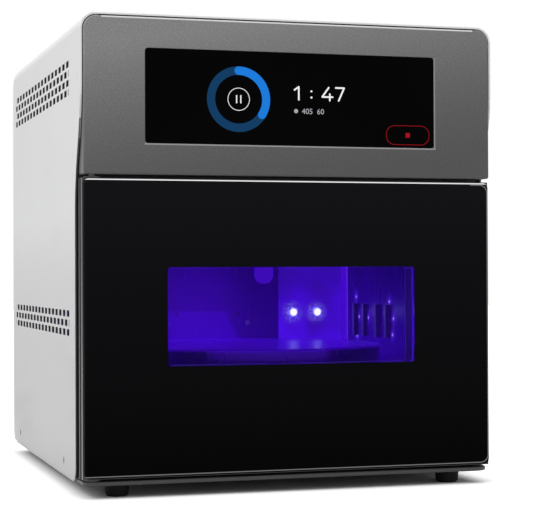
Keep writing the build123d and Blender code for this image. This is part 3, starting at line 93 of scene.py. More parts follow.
@dataclass
class Graph:
    """A node tree with short ways to add and join nodes."""

    tree: NodeTree

    def add(self, kind: str, **settings: object) -> Node:
        """Add a node and set its properties.

        Args:
            kind: Type name of the node.
            settings: Properties of the node by name.

        Returns:
            The new node.
        """
        node = self.tree.nodes.new(kind)
        for name, value in settings.items():
            setattr(node, name, value)
        return node

    def join(self, source: NodeSocket, target: NodeSocket) -> None:
        """Join an output to an input."""
        self.tree.links.new(source, target)

    def feed(self, target: NodeSocket, value: object) -> None:
        """Give an input its value.

        Args:
            target: The input.
            value: Output to join to it, or a number or colour to set.
        """
        if isinstance(value, NodeSocket):
            self.join(value, target)
        elif target.type == "RGBA":
            target.default_value = (*value, 1.0)
        else:
            target.default_value = value

    def math(self, operation: str, *values: object) -> NodeSocket:
        """Add a Math node.

        Args:
            operation: Name of the operation.
            values: Number or output for each input.

        Returns:
            The node's output.
        """
        node = self.add("ShaderNodeMath", operation=operation)
        for socket, value in zip(node.inputs, values):
            self.feed(socket, value)
        return node.outputs[0]

    def product(self, first: object, *others: object) -> NodeSocket:
        """Multiply numbers or outputs with one another.

        Args:
            first: Number or output.
            others: More of them.

        Returns:
            The product's output.
        """
        for other in others:
            first = self.math("MULTIPLY", first, other)
        return first

    def blend(self, factor: object, low: object, high: object, how: str = "MIX") -> NodeSocket:
        """Add a Mix node between two colours.

        Args:
            factor: Number or output that picks between the colours.
            low: Colour or output at 0.
            high: Colour or output at 1.
            how: Blending mode.

        Returns:
            The mixed colour's output.
        """
        node = self.add("ShaderNodeMix", data_type="RGBA", blend_type=how)
        for socket, value in ((node.inputs["Factor"], factor), (node.inputs[6], low), (node.inputs[7], high)):
            self.feed(socket, value)
        return node.outputs[2]

    def span(self, value: NodeSocket, source: Span, target: Span = (0.0, 1.0)) -> NodeSocket:
        """Map a value from one range onto another, clamped.

        Args:
            value: Output to map.
            source: Low and high end of the incoming range.
            target: Low and high end of the result.

        Returns:
            The mapped value's output.
        """
        node = self.add("ShaderNodeMapRange", clamp=True)
        self.join(value, node.inputs["Value"])
        for title, number in zip(("From Min", "From Max", "To Min", "To Max"), (*source, *target)):
            node.inputs[title].default_value = number
        return node.outputs[0]

    def within(self, value: NodeSocket, low: float, high: float) -> NodeSocket:
        """Mask that is 1 where a value lies between two limits."""
        return self.math("COMPARE", value, (low + high) / 2, (high - low) / 2)

    def beyond(self, first: NodeSocket, second: NodeSocket) -> NodeSocket:
        """Length of a pair of values, of which only the positive part counts.

        Args:
            first: Output with the one value.
            second: Output with the other.

        Returns:
            The length's output.
        """
        squares = [self.math("POWER", self.math("MAXIMUM", value, 0.0), 2.0) for value in (first, second)]
        return self.math("SQRT", self.math("ADD", *squares))

    def noise(self, vector: NodeSocket, scale: object, detail: float = 2.0) -> NodeSocket:
        """Add a Noise Texture.

        Args:
            vector: Output with the place.
            scale: Number or output for the scale, in waves per metre.
            detail: Octaves of the noise.

        Returns:
            The noise value's output.
        """
        node = self.add("ShaderNodeTexNoise")
        node.inputs["Detail"].default_value = detail
        self.join(vector, node.inputs["Vector"])
        self.feed(node.inputs["Scale"], scale)
        return node.outputs["Fac"]

    def cells(self, vector: NodeSocket, scale: float) -> NodeSocket:
        """Distance to the nearest point of a scatter of points, with a number of points per metre.

        Args:
            vector: Output with the place.
            scale: Points per metre.

        Returns:
            The distance's output.
        """
        node = self.add("ShaderNodeTexVoronoi")
        node.inputs["Scale"].default_value = scale
        self.join(vector, node.inputs["Vector"])
        return node.outputs["Distance"]

    def mapped(
        self, vector: NodeSocket, scale: Point = (1.0, 1.0, 1.0), turn: Point = (0.0, 0.0, 0.0)
    ) -> NodeSocket:
        """Stretch and turn a place.

        Args:
            vector: Output with the place.
            scale: Stretch along each axis.
            turn: Angles in radians.

        Returns:
            The changed place's output.
        """
        node = self.add("ShaderNodeMapping")
        node.inputs["Scale"].default_value = scale
        node.inputs["Rotation"].default_value = turn
        self.join(vector, node.inputs["Vector"])
        return node.outputs[0]

    def place(self) -> NodeSocket:
        """The object coordinates."""
        return self.add("ShaderNodeTexCoord").outputs["Object"]

    def parts(self, vector: NodeSocket) -> tuple[NodeSocket, NodeSocket, NodeSocket]:
        """The three parts of a place.

        Args:
            vector: Output with the place.

        Returns:
            The outputs across, deep and high.
        """
        node = self.add("ShaderNodeSeparateXYZ")
        self.join(vector, node.inputs[0])
        return node.outputs["X"], node.outputs["Y"], node.outputs["Z"]

    def seen(self) -> NodeSocket:
        """Mask of the rays that come from the camera, from gloss or through glass.

        Returns:
            The mask's output.
        """
        path = self.add("ShaderNodeLightPath")
        seen = self.math("MAXIMUM", path.outputs["Is Camera Ray"], path.outputs["Is Glossy Ray"])
        return self.math("MAXIMUM", seen, path.outputs["Is Transmission Ray"])


class Effects:
    """Shared shader node groups, each built once."""

    @staticmethod
    def start(name: str, inputs: dict[str, float | None], outputs: tuple[str, ...]) -> tuple[Graph, Node, Node]:
        """Start a group with its sockets.

        Args:
            name: Name of the group.
            inputs: Default of each input by its name, or None for a vector.
            outputs: Names of the outputs.

        Returns:
            The graph, its input node and its output node.
        """
        tree = bpy.data.node_groups.new(name, "ShaderNodeTree")
        for title, default in inputs.items():
            kind = "NodeSocketVector" if default is None else "NodeSocketFloat"
            socket = tree.interface.new_socket(name=title, in_out="INPUT", socket_type=kind)
            if default is not None:
                socket.default_value = default
        for title in outputs:
            tree.interface.new_socket(name=title, in_out="OUTPUT", socket_type="NodeSocketFloat")
        graph = Graph(tree)
        return graph, graph.add("NodeGroupInput"), graph.add("NodeGroupOutput")

    @staticmethod
    @cache
    def coat_grain() -> NodeTree:
        """Fine orange-peel grain of a baked powder coat, with slow colour drift.

        Returns:
            The node group.
        """
        inputs = {"Vector": None, "Grain": 900.0, "Drift": 9.0}
        graph, source, target = Effects.start("coat_grain", inputs, ("Height", "Speckle", "Cloud"))
        vector = source.outputs["Vector"]
        peel = graph.noise(vector, source.outputs["Grain"], 3.0)
        fleck = graph.noise(vector, graph.math("MULTIPLY", source.outputs["Grain"], 1.9), 1.0)
        cloud = graph.noise(vector, source.outputs["Drift"], 3.0)
        graph.join(graph.math("ADD", peel, graph.math("MULTIPLY", fleck, 0.4)), target.inputs["Height"])
        graph.join(graph.span(fleck, (0.42, 0.68)), target.inputs["Speckle"])
        graph.join(graph.span(cloud, (0.3, 0.7)), target.inputs["Cloud"])
        return graph.tree

    @staticmethod
    @cache
    def handling() -> NodeTree:
        """Faint wiping streaks and touch marks that change the gloss.

        Returns:
            The node group.
        """
        inputs = {"Vector": None, "Size": 14.0, "Amount": 0.1}
        graph, source, target = Effects.start("handling", inputs, ("Gloss Change", "Micro"))
        vector = source.outputs["Vector"]
        stretched = graph.mapped(vector, scale=(1.0, 1.0, 5.0), turn=(0.0, 0.5, 0.0))
        wipe = graph.noise(stretched, source.outputs["Size"], 5.0)
        patch = graph.noise(vector, graph.math("MULTIPLY", source.outputs["Size"], 0.5), 2.0)
        mark = graph.product(graph.span(wipe, (0.45, 0.75)), graph.span(patch, (0.4, 0.65)))
        graph.join(graph.product(mark, source.outputs["Amount"]), target.inputs["Gloss Change"])
        graph.join(graph.noise(vector, 2600.0, 1.0), target.inputs["Micro"])
        return graph.tree

    @staticmethod
    @cache
    def drawn_grain() -> NodeTree:
        """Long fine lines of brushed, drawn or rolled metal.

        Returns:
            The node group.
        """
        inputs = {"Vector": None, "Lines": 1400.0, "Stretch X": 1.0, "Stretch Y": 1.0, "Stretch Z": 1.0}
        graph, source, target = Effects.start("drawn_grain", inputs, ("Height", "Streak"))
        scale = graph.add("ShaderNodeCombineXYZ")
        for axis in "XYZ":
            graph.join(source.outputs[f"Stretch {axis}"], scale.inputs[axis])
        stretched = graph.add("ShaderNodeVectorMath", operation="MULTIPLY")
        graph.join(source.outputs["Vector"], stretched.inputs[0])
        graph.join(scale.outputs[0], stretched.inputs[1])
        lines = graph.noise(stretched.outputs[0], source.outputs["Lines"], 4.0)
        graph.join(lines, target.inputs["Height"])
        graph.join(graph.span(lines, (0.3, 0.7)), target.inputs["Streak"])
        return graph.tree

    @staticmethod
    @cache
    def settled_dust() -> NodeTree:
        """Thin dust that lies on faces turned upwards.

        Returns:
            The node group.
        """
        inputs = {"Vector": None, "Normal": None, "Amount": 0.1}
        graph, source, target = Effects.start("settled_dust", inputs, ("Mask",))
        upward = graph.parts(source.outputs["Normal"])[2]
        drift = graph.span(graph.noise(source.outputs["Vector"], 45.0, 6.0), (0.35, 0.75))
        mask = graph.product(graph.span(upward, (0.4, 1.0)), drift, source.outputs["Amount"])
        graph.join(mask, target.inputs["Mask"])
        return graph.tree

    @staticmethod
    @cache
    def glow_spots() -> NodeTree:
        """Round glow that fades with the distance from a point.

        Returns:
            The node group.
        """
        inputs = {"Vector": None, "Centre": None, "Core": 0.002, "Reach": 0.02}
        graph, source, target = Effects.start("glow_spots", inputs, ("Core Mask", "Halo"))
        distance = graph.add("ShaderNodeVectorMath", operation="DISTANCE")
        graph.join(source.outputs["Vector"], distance.inputs[0])
        graph.join(source.outputs["Centre"], distance.inputs[1])
        away = distance.outputs["Value"]
        core, halo = (
            graph.math("SUBTRACT", 1.0, graph.math("DIVIDE", away, source.outputs[limit]))
            for limit in ("Core", "Reach")
        )
        graph.join(graph.span(core, (0.0, 0.4)), target.inputs["Core Mask"])
        graph.join(graph.math("POWER", graph.math("MAXIMUM", halo, 0.0), 2.0), target.inputs["Halo"])
        return graph.tree


# Finishes


@dataclass(frozen=True)
class Finish:
    """What every finish starts from: a material with a Principled shader."""

    name: str

    def start(self) -> tuple[Material, Graph, Node, NodeSocket]:
        """Make the material.

        Returns:
            The material, its graph, the shader node and the object coordinates.
        """
        material = bpy.data.materials.new(self.name)
        material.use_nodes = True
        graph = Graph(material.node_tree)
        return material, graph, material.node_tree.nodes["Principled BSDF"], graph.place()

    def reopen(self, material: Material) -> tuple[Graph, Node, NodeSocket, NodeSocket, NodeSocket]:
        """Open a built material to add a glow to it.

        Args:
            material: The material.

        Returns:
            Its graph, the shader node and the place across, deep and high.
        """
        graph = Graph(material.node_tree)
        return graph, material.node_tree.nodes["Principled BSDF"], *graph.parts(graph.place())

    def effect(self, graph: Graph, tree: NodeTree, place: NodeSocket, **values: object) -> Node:
        """Place a shared effect in the material.

        Args:
            graph: The material's graph.
            tree: The effect's node group.
            place: Output with the object coordinates.
            values: Input values by name, with underscores for spaces.

        Returns:
            The group node.
        """
        node = graph.add("ShaderNodeGroup", node_tree=tree)
        graph.join(place, node.inputs["Vector"])
        for title, value in values.items():
            node.inputs[title.replace("_", " ")].default_value = value
        return node

    def dusted(self, graph: Graph, place: NodeSocket, amount: float) -> NodeSocket:
        """Mask of the settled dust.

        Args:
            graph: The material's graph.
            place: Output with the object coordinates.
            amount: Share of the dust.

        Returns:
            The mask's output.
        """
        dust = self.effect(graph, Effects.settled_dust(), place, Amount=amount)
        graph.join(graph.add("ShaderNodeNewGeometry").outputs["Normal"], dust.inputs["Normal"])
        return dust.outputs["Mask"]

    def glow(self, graph: Graph, shader: Node, colour: NodeSocket, strength: float = 1.0) -> None:
        """Let the surface shine.

        Args:
            graph: The material's graph.
            shader: The Principled node.
            colour: Output with the light's colour.
            strength: Strength of the light.
        """
        graph.join(colour, shader.inputs["Emission Color"])
        shader.inputs["Emission Strength"].default_value = strength

    def relief(self, graph: Graph, shader: Node, height: NodeSocket, depth: float, strength: float) -> None:
        """Bump the surface.

        Args:
            graph: The material's graph.
            shader: The Principled node.
            height: Output with the height.
            depth: Height of the relief in metres.
            strength: Share of the relief that shows.
        """
        bump = graph.add("ShaderNodeBump")
        bump.inputs["Distance"].default_value = depth
        bump.inputs["Strength"].default_value = strength
        graph.join(height, bump.inputs["Height"])
        graph.join(bump.outputs["Normal"], shader.inputs["Normal"])


@dataclass(frozen=True)
class PaintedLightPatch:
    """Part of a surface painted in a flat colour as painted shade or a painted highlight, between limits
    across, deep and high.
    """

    across: Span
    deep: Span
    high: Span
    colour: Colour
    mirrored: bool = True

    def over(self, graph: Graph, place: NodeSocket, under: NodeSocket) -> NodeSocket:
        """Lay the patch over a colour.

        Args:
            graph: The material's graph.
            place: Output with the object coordinates.
            under: Output with the colour below the patch.

        Returns:
            The colour with the patch on it.
        """
        x, y, z = graph.parts(place)
        if self.mirrored:
            x = graph.math("ABSOLUTE", x)
        limits = ((x, self.across), (y, self.deep), (z, self.high))
        mask = graph.product(*(graph.within(value, *limit) for value, limit in limits))
        return graph.blend(mask, under, self.colour)


@dataclass(frozen=True)
class PowderCoat(Finish):
    """Baked powder coat on sheet metal, with painted shade that darkens it towards its low, right end, and
    patches of painted shade and painted highlights.
    """

    colour: Colour
    roughness: float = 0.5
    grain: float = 900.0
    depth: float = 0.03 * MM
    speckle: float = 0.05
    cloud: float = 0.03
    dust: float = 0.04
    specular: float = 0.5
    # Painted shade: how much darker the coat gets towards its low, right end, over which heights, how much it
    # slants across, and how steeply it comes on.
    painted_shade: float = 0.0
    painted_shade_span: Span = (0.0, 1.0)
    painted_shade_across: float = 0.0
    painted_shade_power: float = 1.8
    # Patches of painted shade and painted highlights laid over the coat.
    painted_light_patches: tuple[PaintedLightPatch, ...] = ()
    dust_colour: Colour = (0.55, 0.53, 0.5)

    def build(self) -> Material:
        """Make the material.

        Returns:
            The material.
        """
        material, graph, shader, place = self.start()
        shader.inputs["Specular IOR Level"].default_value = self.specular
        grain = self.effect(graph, Effects.coat_grain(), place, Grain=self.grain)
        marks = self.effect(graph, Effects.handling(), place, Size=11.0, Amount=0.12)
        dust = self.dusted(graph, place, self.dust)
        base = graph.blend(grain.outputs["Cloud"], shaded(self.colour, 1.0 - self.cloud), self.colour)
        lift = 4.0 * self.speckle
        light = tuple(min(1.0, c + 0.02 * self.speckle) for c in shaded(self.colour, 1.0 + lift))
        colour = graph.blend(graph.product(grain.outputs["Speckle"], lift), base, light)
        # Painted shade: darker towards the low, right end.
        if self.painted_shade > 0.0:
            colour = graph.blend(self.painted_shade_share(graph, place), colour, shaded(WHITE, 1.0 - self.painted_shade), "MULTIPLY")
        colour = graph.blend(dust, colour, self.dust_colour)
        # Lay on the patches of painted shade and painted highlights.
        for patch in self.painted_light_patches:
            colour = patch.over(graph, place, colour)
        graph.join(colour, shader.inputs["Base Color"])
        rough = graph.math("ADD", marks.outputs["Gloss Change"], self.roughness)
        graph.join(graph.math("ADD", rough, graph.product(dust, 0.3)), shader.inputs["Roughness"])
        self.relief(graph, shader, grain.outputs["Height"], self.depth, 0.5)
        return material

    def painted_shade_share(self, graph: Graph, place: NodeSocket) -> NodeSocket:
        """How far a point lies towards the low, right end of the painted shade, from 0 to 1.

        Args:
            graph: The material's graph.
            place: Output with the object coordinates.

        Returns:
            The share's output.
        """
        x, _, z = graph.parts(place)
        height = graph.span(graph.math("ADD", z, graph.product(x, -self.painted_shade_across)), self.painted_shade_span)
        return graph.math("SUBTRACT", 1.0, graph.math("POWER", height, self.painted_shade_power))


@dataclass(frozen=True)
class Moulding(Finish):
    """Moulded plastic or rubber, from dead matt to high gloss, which can be painted paler upwards as a painted
    sheen.
    """

    colour: Colour
    roughness: float = 0.45
    specular: float = 0.5
    grain: float = 1500.0
    depth: float = 0.02 * MM
    strength: float = 0.4
    marks: float = 0.06
    dust: float = 0.05
    # Painted sheen: heights over which the colour turns to a paler tone upwards.
    painted_sheen_span: Span = (0.0, 0.0)
    painted_sheen_tone: Colour = (0.0102, 0.0102, 0.0125)
    dust_colour: Colour = (0.4, 0.39, 0.37)

    def build(self) -> Material:
        """Make the material.

        Returns:
            The material.
        """
        material, graph, shader, place = self.start()
        grain = self.effect(graph, Effects.coat_grain(), place, Grain=self.grain, Drift=16.0)
        marks = self.effect(graph, Effects.handling(), place, Size=17.0, Amount=self.marks)
        dust = self.dusted(graph, place, self.dust)
        pale = tuple(min(1.0, c + 0.0006) for c in shaded(self.colour, 1.12))
        base = graph.blend(grain.outputs["Cloud"], self.colour, pale)
        # Painted sheen: paler upwards, in place of the drifting tone.
        if self.painted_sheen_span[1] > 0.0:
            height = graph.span(graph.parts(place)[2], self.painted_sheen_span)
            base = graph.blend(height, self.colour, self.painted_sheen_tone)
        graph.join(graph.blend(dust, base, self.dust_colour), shader.inputs["Base Color"])
        rough = graph.math("ADD", marks.outputs["Gloss Change"], self.roughness)
        graph.join(rough, shader.inputs["Roughness"])
        shader.inputs["Specular IOR Level"].default_value = self.specular
        self.relief(graph, shader, grain.outputs["Height"], self.depth, self.strength)
        return material


@dataclass(frozen=True)
class LitMoulding(Moulding):
    """Moulding whose window opening catches the violet light of the chamber."""

    half_width: float = 97.5 * MM
    low_z: float = 87.0 * MM
    high_z: float = 166.3 * MM
    near_y: float = -163.2 * MM
    rim_depth: float = 0.6 * MM
    glow_tone: Colour = (0.011, 0.0, 0.09)
    rim_glow: Colour = (0.05, 0.012, 0.36)

    def build(self) -> Material:
        """Make the material.

        Returns:
            The material.
        """
        material = super().build()
        graph, shader, x, y, z = self.reopen(material)
        mask = graph.product(
            graph.math("LESS_THAN", graph.math("ABSOLUTE", x), self.half_width),
            graph.math("GREATER_THAN", z, self.low_z),
            graph.math("LESS_THAN", z, self.high_z),
        )
        rim = graph.span(y, (self.near_y, self.near_y - self.rim_depth))
        light = graph.blend(rim, self.glow_tone, self.rim_glow)
        self.glow(graph, shader, graph.blend(mask, BLACK, light))
        return material


@dataclass(frozen=True)
class GlossPlate(Moulding):
    """Glossy plate whose rounded rim catches the light in thin lines."""

    half_width: float = 152.5 * MM
    low_z: float = 14.4 * MM
    high_z: float = 223.6 * MM
    corner: float = 7.5 * MM
    inset: float = 1.1 * MM
    line: float = 0.75 * MM
    top_line: float = 0.9 * MM
    rim_light: Colour = (0.16, 0.16, 0.165)
    top_light: Colour = (0.85, 0.85, 0.86)

    def build(self) -> Material:
        """Make the material.

        Returns:
            The material.
        """
        material = super().build()
        graph, shader, x, _, z = self.reopen(material)
        middle = (self.low_z + self.high_z) / 2
        tall = (self.high_z - self.low_z) / 2
        upright = graph.math("ABSOLUTE", graph.math("SUBTRACT", z, middle))
        edge = graph.beyond(
            graph.math("SUBTRACT", x, self.half_width - self.corner),
            graph.math("SUBTRACT", upright, tall - self.corner),
        )
        rim = graph.within(graph.math("SUBTRACT", edge, self.corner), -self.inset - self.line, -self.inset)
        right = graph.math("GREATER_THAN", x, self.half_width - 2 * self.corner)
        bottom = graph.math("LESS_THAN", z, self.low_z + self.corner)
        lit = graph.blend(graph.product(rim, graph.math("MAXIMUM", right, bottom)), BLACK, self.rim_light)
        top = graph.math("GREATER_THAN", z, self.high_z - self.top_line)
        self.glow(graph, shader, graph.blend(top, lit, self.top_light))
        return material


@dataclass(frozen=True)
class BareMetal(Finish):
    """Brushed, drawn or turned metal with its grain along one axis."""

    colour: Colour
    roughness: float = 0.3
    along: Axis = Axis.X
    lines: float = 1500.0
    depth: float = 0.01 * MM
    stretch: float = 0.03

    def build(self) -> Material:
        """Make the material.

        Returns:
            The material.
        """
        material, graph, shader, place = self.start()
        grain = self.effect(graph, Effects.drawn_grain(), place, Lines=self.lines)
        grain.inputs[f"Stretch {self.along.name}"].default_value = self.stretch
        marks = self.effect(graph, Effects.handling(), place, Size=30.0, Amount=0.15)
        streak = grain.outputs["Streak"]
        graph.join(graph.blend(streak, shaded(self.colour, 0.82), self.colour), shader.inputs["Base Color"])
        rough = graph.math("ADD", marks.outputs["Gloss Change"], self.roughness)
        graph.join(graph.math("ADD", rough, graph.product(streak, 0.12)), shader.inputs["Roughness"])
        shader.inputs["Metallic"].default_value = 1.0
        self.relief(graph, shader, grain.outputs["Height"], self.depth, 0.35)
        return material


@dataclass(frozen=True)
class LitMetal(BareMetal):
    """Metal that catches the violet light where it lies in front of the chamber's back wall."""

    behind_y: float = 100.0 * MM
    glow_tone: Colour = (0.022, 0.0, 0.17)

    def build(self) -> Material:
        """Make the material.

        Returns:
            The material.
        """
        material = super().build()
        graph, shader, _, y, _ = self.reopen(material)
        inside = graph.math("LESS_THAN", y, self.behind_y)
        self.glow(graph, shader, graph.blend(inside, BLACK, self.glow_tone))
        return material


@dataclass(frozen=True)
class Lamp(Finish):
    """Glowing face of a light source or of a lit symbol; also a painted glow on a part that is no lamp."""

    colour: Colour
    base: Colour = BLACK
    ripple: float = 0.0

    def build(self) -> Material:
        """Make the material.

        Returns:
            The material.
        """
        material, graph, shader, place = self.start()
        shader.inputs["Base Color"].default_value = (*self.base, 1.0)
        shader.inputs["Roughness"].default_value = 0.6
        shader.inputs["Specular IOR Level"].default_value = 0.0
        pixels = graph.noise(place, 4200.0, 0.0)
        self.glow(graph, shader, graph.blend(pixels, shaded(self.colour, 1.0 - self.ripple), self.colour))
        return material


@dataclass(frozen=True)
class ClearPane(Finish):
    """Tinted transparent sheet with wiping marks."""

    tint: Colour
    roughness: float = 0.02
    ior: float = 1.45

    def build(self) -> Material:
        """Make the material.

        Returns:
            The material.
        """
        material, graph, shader, place = self.start()
        marks = self.effect(graph, Effects.handling(), place, Size=24.0, Amount=0.05)
        tint = graph.blend(marks.outputs["Micro"], shaded(self.tint, 0.94), self.tint)
        graph.join(tint, shader.inputs["Base Color"])
        rough = graph.math("ADD", marks.outputs["Gloss Change"], self.roughness)
        graph.join(rough, shader.inputs["Roughness"])
        shader.inputs["Transmission Weight"].default_value = 1.0
        shader.inputs["IOR"].default_value = self.ior
        return material


@dataclass(frozen=True)
class LitSheet(Finish):
    """Polished sheet inside the chamber, bathed in violet light from the lamps.

    The glow is strongest low down and at the back, with soft upright clouds of reflected light.
    """

    colour: Colour
    tint: Colour
    floor_z: float
    ceiling_z: float
    front_y: float
    back_y: float
    low: float = 0.35
    floor_level: float = 1.0
    high_level: float = 0.45
    cloud_size: float = 16.0
    cloud_depth: float = 0.45
    cloud_stretch: float = 0.35
    streak: float = 0.04
    grain_lines: float = 700.0
    grain_stretch: float = 0.05
    # Painted highlight on the faces seen side-on, with its blend and how sharply it comes on.
    rim: Colour = BLACK
    rim_blend: float = 0.35
    rim_power: float = 2.5
    glints: tuple[Point, ...] = ()
    glint_core: float = 1.6 * MM
    glint_reach: float = 10.0 * MM
    glint_share: float = 0.6
    glint_light: Colour = (0.70, 0.62, 1.0)
    halo_light: Colour = (0.16, 0.03, 0.85)

    def build(self) -> Material:
        """Make the material.

        Returns:
            The material.
        """
        material, graph, shader, place = self.start()
        grain = self.effect(graph, Effects.drawn_grain(), place, Lines=self.grain_lines)
        grain.inputs["Stretch Z"].default_value = self.grain_stretch
        streaks = graph.span(grain.outputs["Height"], (0.3, 0.7), (1.0 - self.streak, 1.0))
        level = graph.product(self.level(graph, place), self.clouds(graph, place), streaks)
        light = self.tone(graph, place, level)
        # Painted highlight where the surface is seen side-on.
        if any(self.rim):
            weight = graph.add("ShaderNodeLayerWeight")
            weight.inputs["Blend"].default_value = self.rim_blend
            facing = graph.math("POWER", weight.outputs["Facing"], self.rim_power)
            light = graph.blend(facing, light, self.rim)
        reach = {"Core": self.glint_core, "Reach": self.glint_reach}
        for glint in self.glints:
            spot = self.effect(graph, Effects.glow_spots(), place, Centre=glint, **reach)
            light = graph.blend(graph.product(spot.outputs["Halo"], self.glint_share), light, self.halo_light)
            light = graph.blend(spot.outputs["Core Mask"], light, self.glint_light)
        self.glow(graph, shader, light)
        shader.inputs["Metallic"].default_value = 1.0
        streak = grain.outputs["Streak"]
        graph.join(graph.blend(streak, shaded(self.colour, 0.94), self.colour), shader.inputs["Base Color"])
        graph.join(graph.span(streak, (0.0, 1.0), (0.22, 0.28)), shader.inputs["Roughness"])
        self.relief(graph, shader, grain.outputs["Height"], 0.01 * MM, 0.03)
        return material

    def level(self, graph: Graph, place: NodeSocket) -> NodeSocket:
        """Brightness that grows towards the back and the floor.

        Args:
            graph: The material's graph.
            place: Output with the object coordinates.

        Returns:
            The brightness's output.
        """
        _, y, z = graph.parts(place)
        depth = graph.span(y, (self.front_y, self.back_y), (self.low, 1.0))
        height = graph.span(z, (self.floor_z, self.ceiling_z), (self.floor_level, self.high_level))
        return graph.product(depth, height)

    def clouds(self, graph: Graph, place: NodeSocket) -> NodeSocket:
        """Soft upright clouds of reflected light.

        Args:
            graph: The material's graph.
            place: Output with the object coordinates.

        Returns:
            The brightness's output.
        """
        upright = graph.mapped(place, scale=(1.0, 1.0, self.cloud_stretch))
        return graph.span(graph.noise(upright, self.cloud_size), (0.35, 0.65), (1.0 - self.cloud_depth, 1.0))

    def tone(self, graph: Graph, place: NodeSocket, lit: NodeSocket) -> NodeSocket:
        """Colour of the glow at a brightness."""
        return graph.blend(lit, BLACK, self.tint)


@dataclass(frozen=True)
class MirroredWall(LitSheet):
    """Back wall: it also mirrors the pale turntable low on its left and glints along its corners."""

    mirror_top: float = 124.0 * MM
    mirror_edge: float = 16.5 * MM
    mirror_slope: float = 0.47
    mirror_lift: float = 0.42
    mirror_blur: Span = (1.2 * MM, 1.5 * MM)
    plain: float = 0.7
    left_lift: float = 0.16
    left_span: Span = (35.0 * MM, 5.0 * MM)
    corner_x: float = 127.9 * MM
    corner_glow: Colour = (0.42, 0.16, 1.0)
    strip_x: float = 122.2 * MM
    strip_glow: Colour = (0.085, 0.004, 0.56)
    edge_blur: Span = (0.4 * MM, 0.2 * MM)

    def tone(self, graph: Graph, place: NodeSocket, lit: NodeSocket) -> NodeSocket:
        """Colour of the glow, lifted by the mirrored turntable and the glint in the corners.

        Args:
            graph: The material's graph.
            place: Output with the object coordinates.
            lit: Output with the brightness.

        Returns:
            The colour's output.
        """
        x, _, z = graph.parts(place)
        below = graph.math("SUBTRACT", self.mirror_top, z)
        edge = graph.math("ADD", self.mirror_edge, graph.product(below, self.mirror_slope))
        side, top = self.mirror_blur
        inside = graph.span(graph.math("SUBTRACT", edge, x), (-side, side))
        lift = graph.product(inside, graph.span(below, (-top, top)), self.mirror_lift)
        left = graph.span(x, self.left_span, (0.0, self.left_lift))
        level = graph.product(lit, graph.math("ADD", self.plain, graph.math("ADD", lift, left)))
        away = graph.math("ABSOLUTE", x)
        before, after = self.edge_blur
        wall = graph.blend(level, BLACK, self.tint)
        wall = graph.blend(graph.span(away, (self.strip_x - before, self.strip_x)), wall, self.strip_glow)
        glint = graph.span(away, (self.corner_x - before, self.corner_x + after))
        return graph.blend(glint, wall, self.corner_glow)


@dataclass(frozen=True)
class LampBoard(Finish):
    """Lamp board or lens: glow that fades round each lamp over a fine sparkling reflector."""

    colour: Colour
    tint: Colour
    strength: float
    centres: tuple[Point, ...]
    core: float = 3.5 * MM
    reach: float = 13.5 * MM
    core_light: Colour = (0.8, 0.95, 1.0)
    halo_light: Colour = (0.85, 1.0, 1.0)
    dots_per_metre: float = 640.0
    halo_full: float = 0.45
    dot_floor: float = 0.08
    fade_z: Span = (95.0 * MM, 160.0 * MM)
    cloud_size: float = 26.0

    def build(self) -> Material:
        """Make the material.

        Returns:
            The material.
        """
        material, graph, shader, place = self.start()
        dotted = graph.span(graph.cells(place, self.dots_per_metre), (0.2, 0.45), (1.0, 0.0))
        core, halo = None, None
        for centre in self.centres:
            spot = self.effect(
                graph, Effects.glow_spots(), place, Centre=centre, Core=self.core, Reach=self.reach
            )
            middle, near = spot.outputs["Core Mask"], spot.outputs["Halo"]
            core = middle if core is None else graph.math("MAXIMUM", core, middle)
            halo = near if halo is None else graph.math("ADD", halo, near)
        dots = graph.span(dotted, (0.0, 1.0), (self.dot_floor, 1.0))
        sparkle = graph.product(graph.span(halo, (0.0, self.halo_full)), dots)
        soft = graph.span(graph.noise(place, self.cloud_size), (0.35, 0.65), (0.55, 1.0))
        low = graph.span(graph.parts(place)[2], self.fade_z, (1.0, 0.5))
        ground = graph.blend(graph.product(soft, low), BLACK, self.tint)
        lit = graph.blend(sparkle, ground, self.halo_light)
        self.glow(graph, shader, graph.blend(core, lit, self.core_light), self.strength)
        graph.join(graph.blend(dotted, shaded(self.colour, 0.8), self.colour), shader.inputs["Base Color"])
        graph.join(graph.span(dotted, (0.0, 1.0), (0.35, 0.6)), shader.inputs["Roughness"])
        shader.inputs["Specular IOR Level"].default_value = 0.15
        self.relief(graph, shader, dotted, 0.05 * MM, 0.4)
        return material


@dataclass(frozen=True)
class CircuitBoard(Finish):
    """Solder mask with copper tracks and tinned pads."""

    colour: Colour
    track: Colour
    tin: Colour = (0.6, 0.6, 0.58)

    def build(self) -> Material:
        """Make the material.

        Returns:
            The material.
        """
        material, graph, shader, place = self.start()
        tracks = graph.add("ShaderNodeTexBrick")
        tracks.inputs["Scale"].default_value = 90.0
        tracks.inputs["Mortar Size"].default_value = 0.06
        graph.join(graph.mapped(place, turn=(math.pi / 2, 0.0, 0.0)), tracks.inputs["Vector"])
        tinned = graph.span(graph.cells(place, 210.0), (0.16, 0.2), (1.0, 0.0))
        masked = graph.blend(tracks.outputs["Fac"], self.colour, self.track)
        graph.join(graph.blend(tinned, masked, self.tin), shader.inputs["Base Color"])
        graph.join(graph.span(tinned, (0.0, 1.0), (0.35, 0.22)), shader.inputs["Roughness"])
        graph.join(tinned, shader.inputs["Metallic"])
        self.relief(graph, shader, tracks.outputs["Fac"], 0.03 * MM, 0.5)
        return material


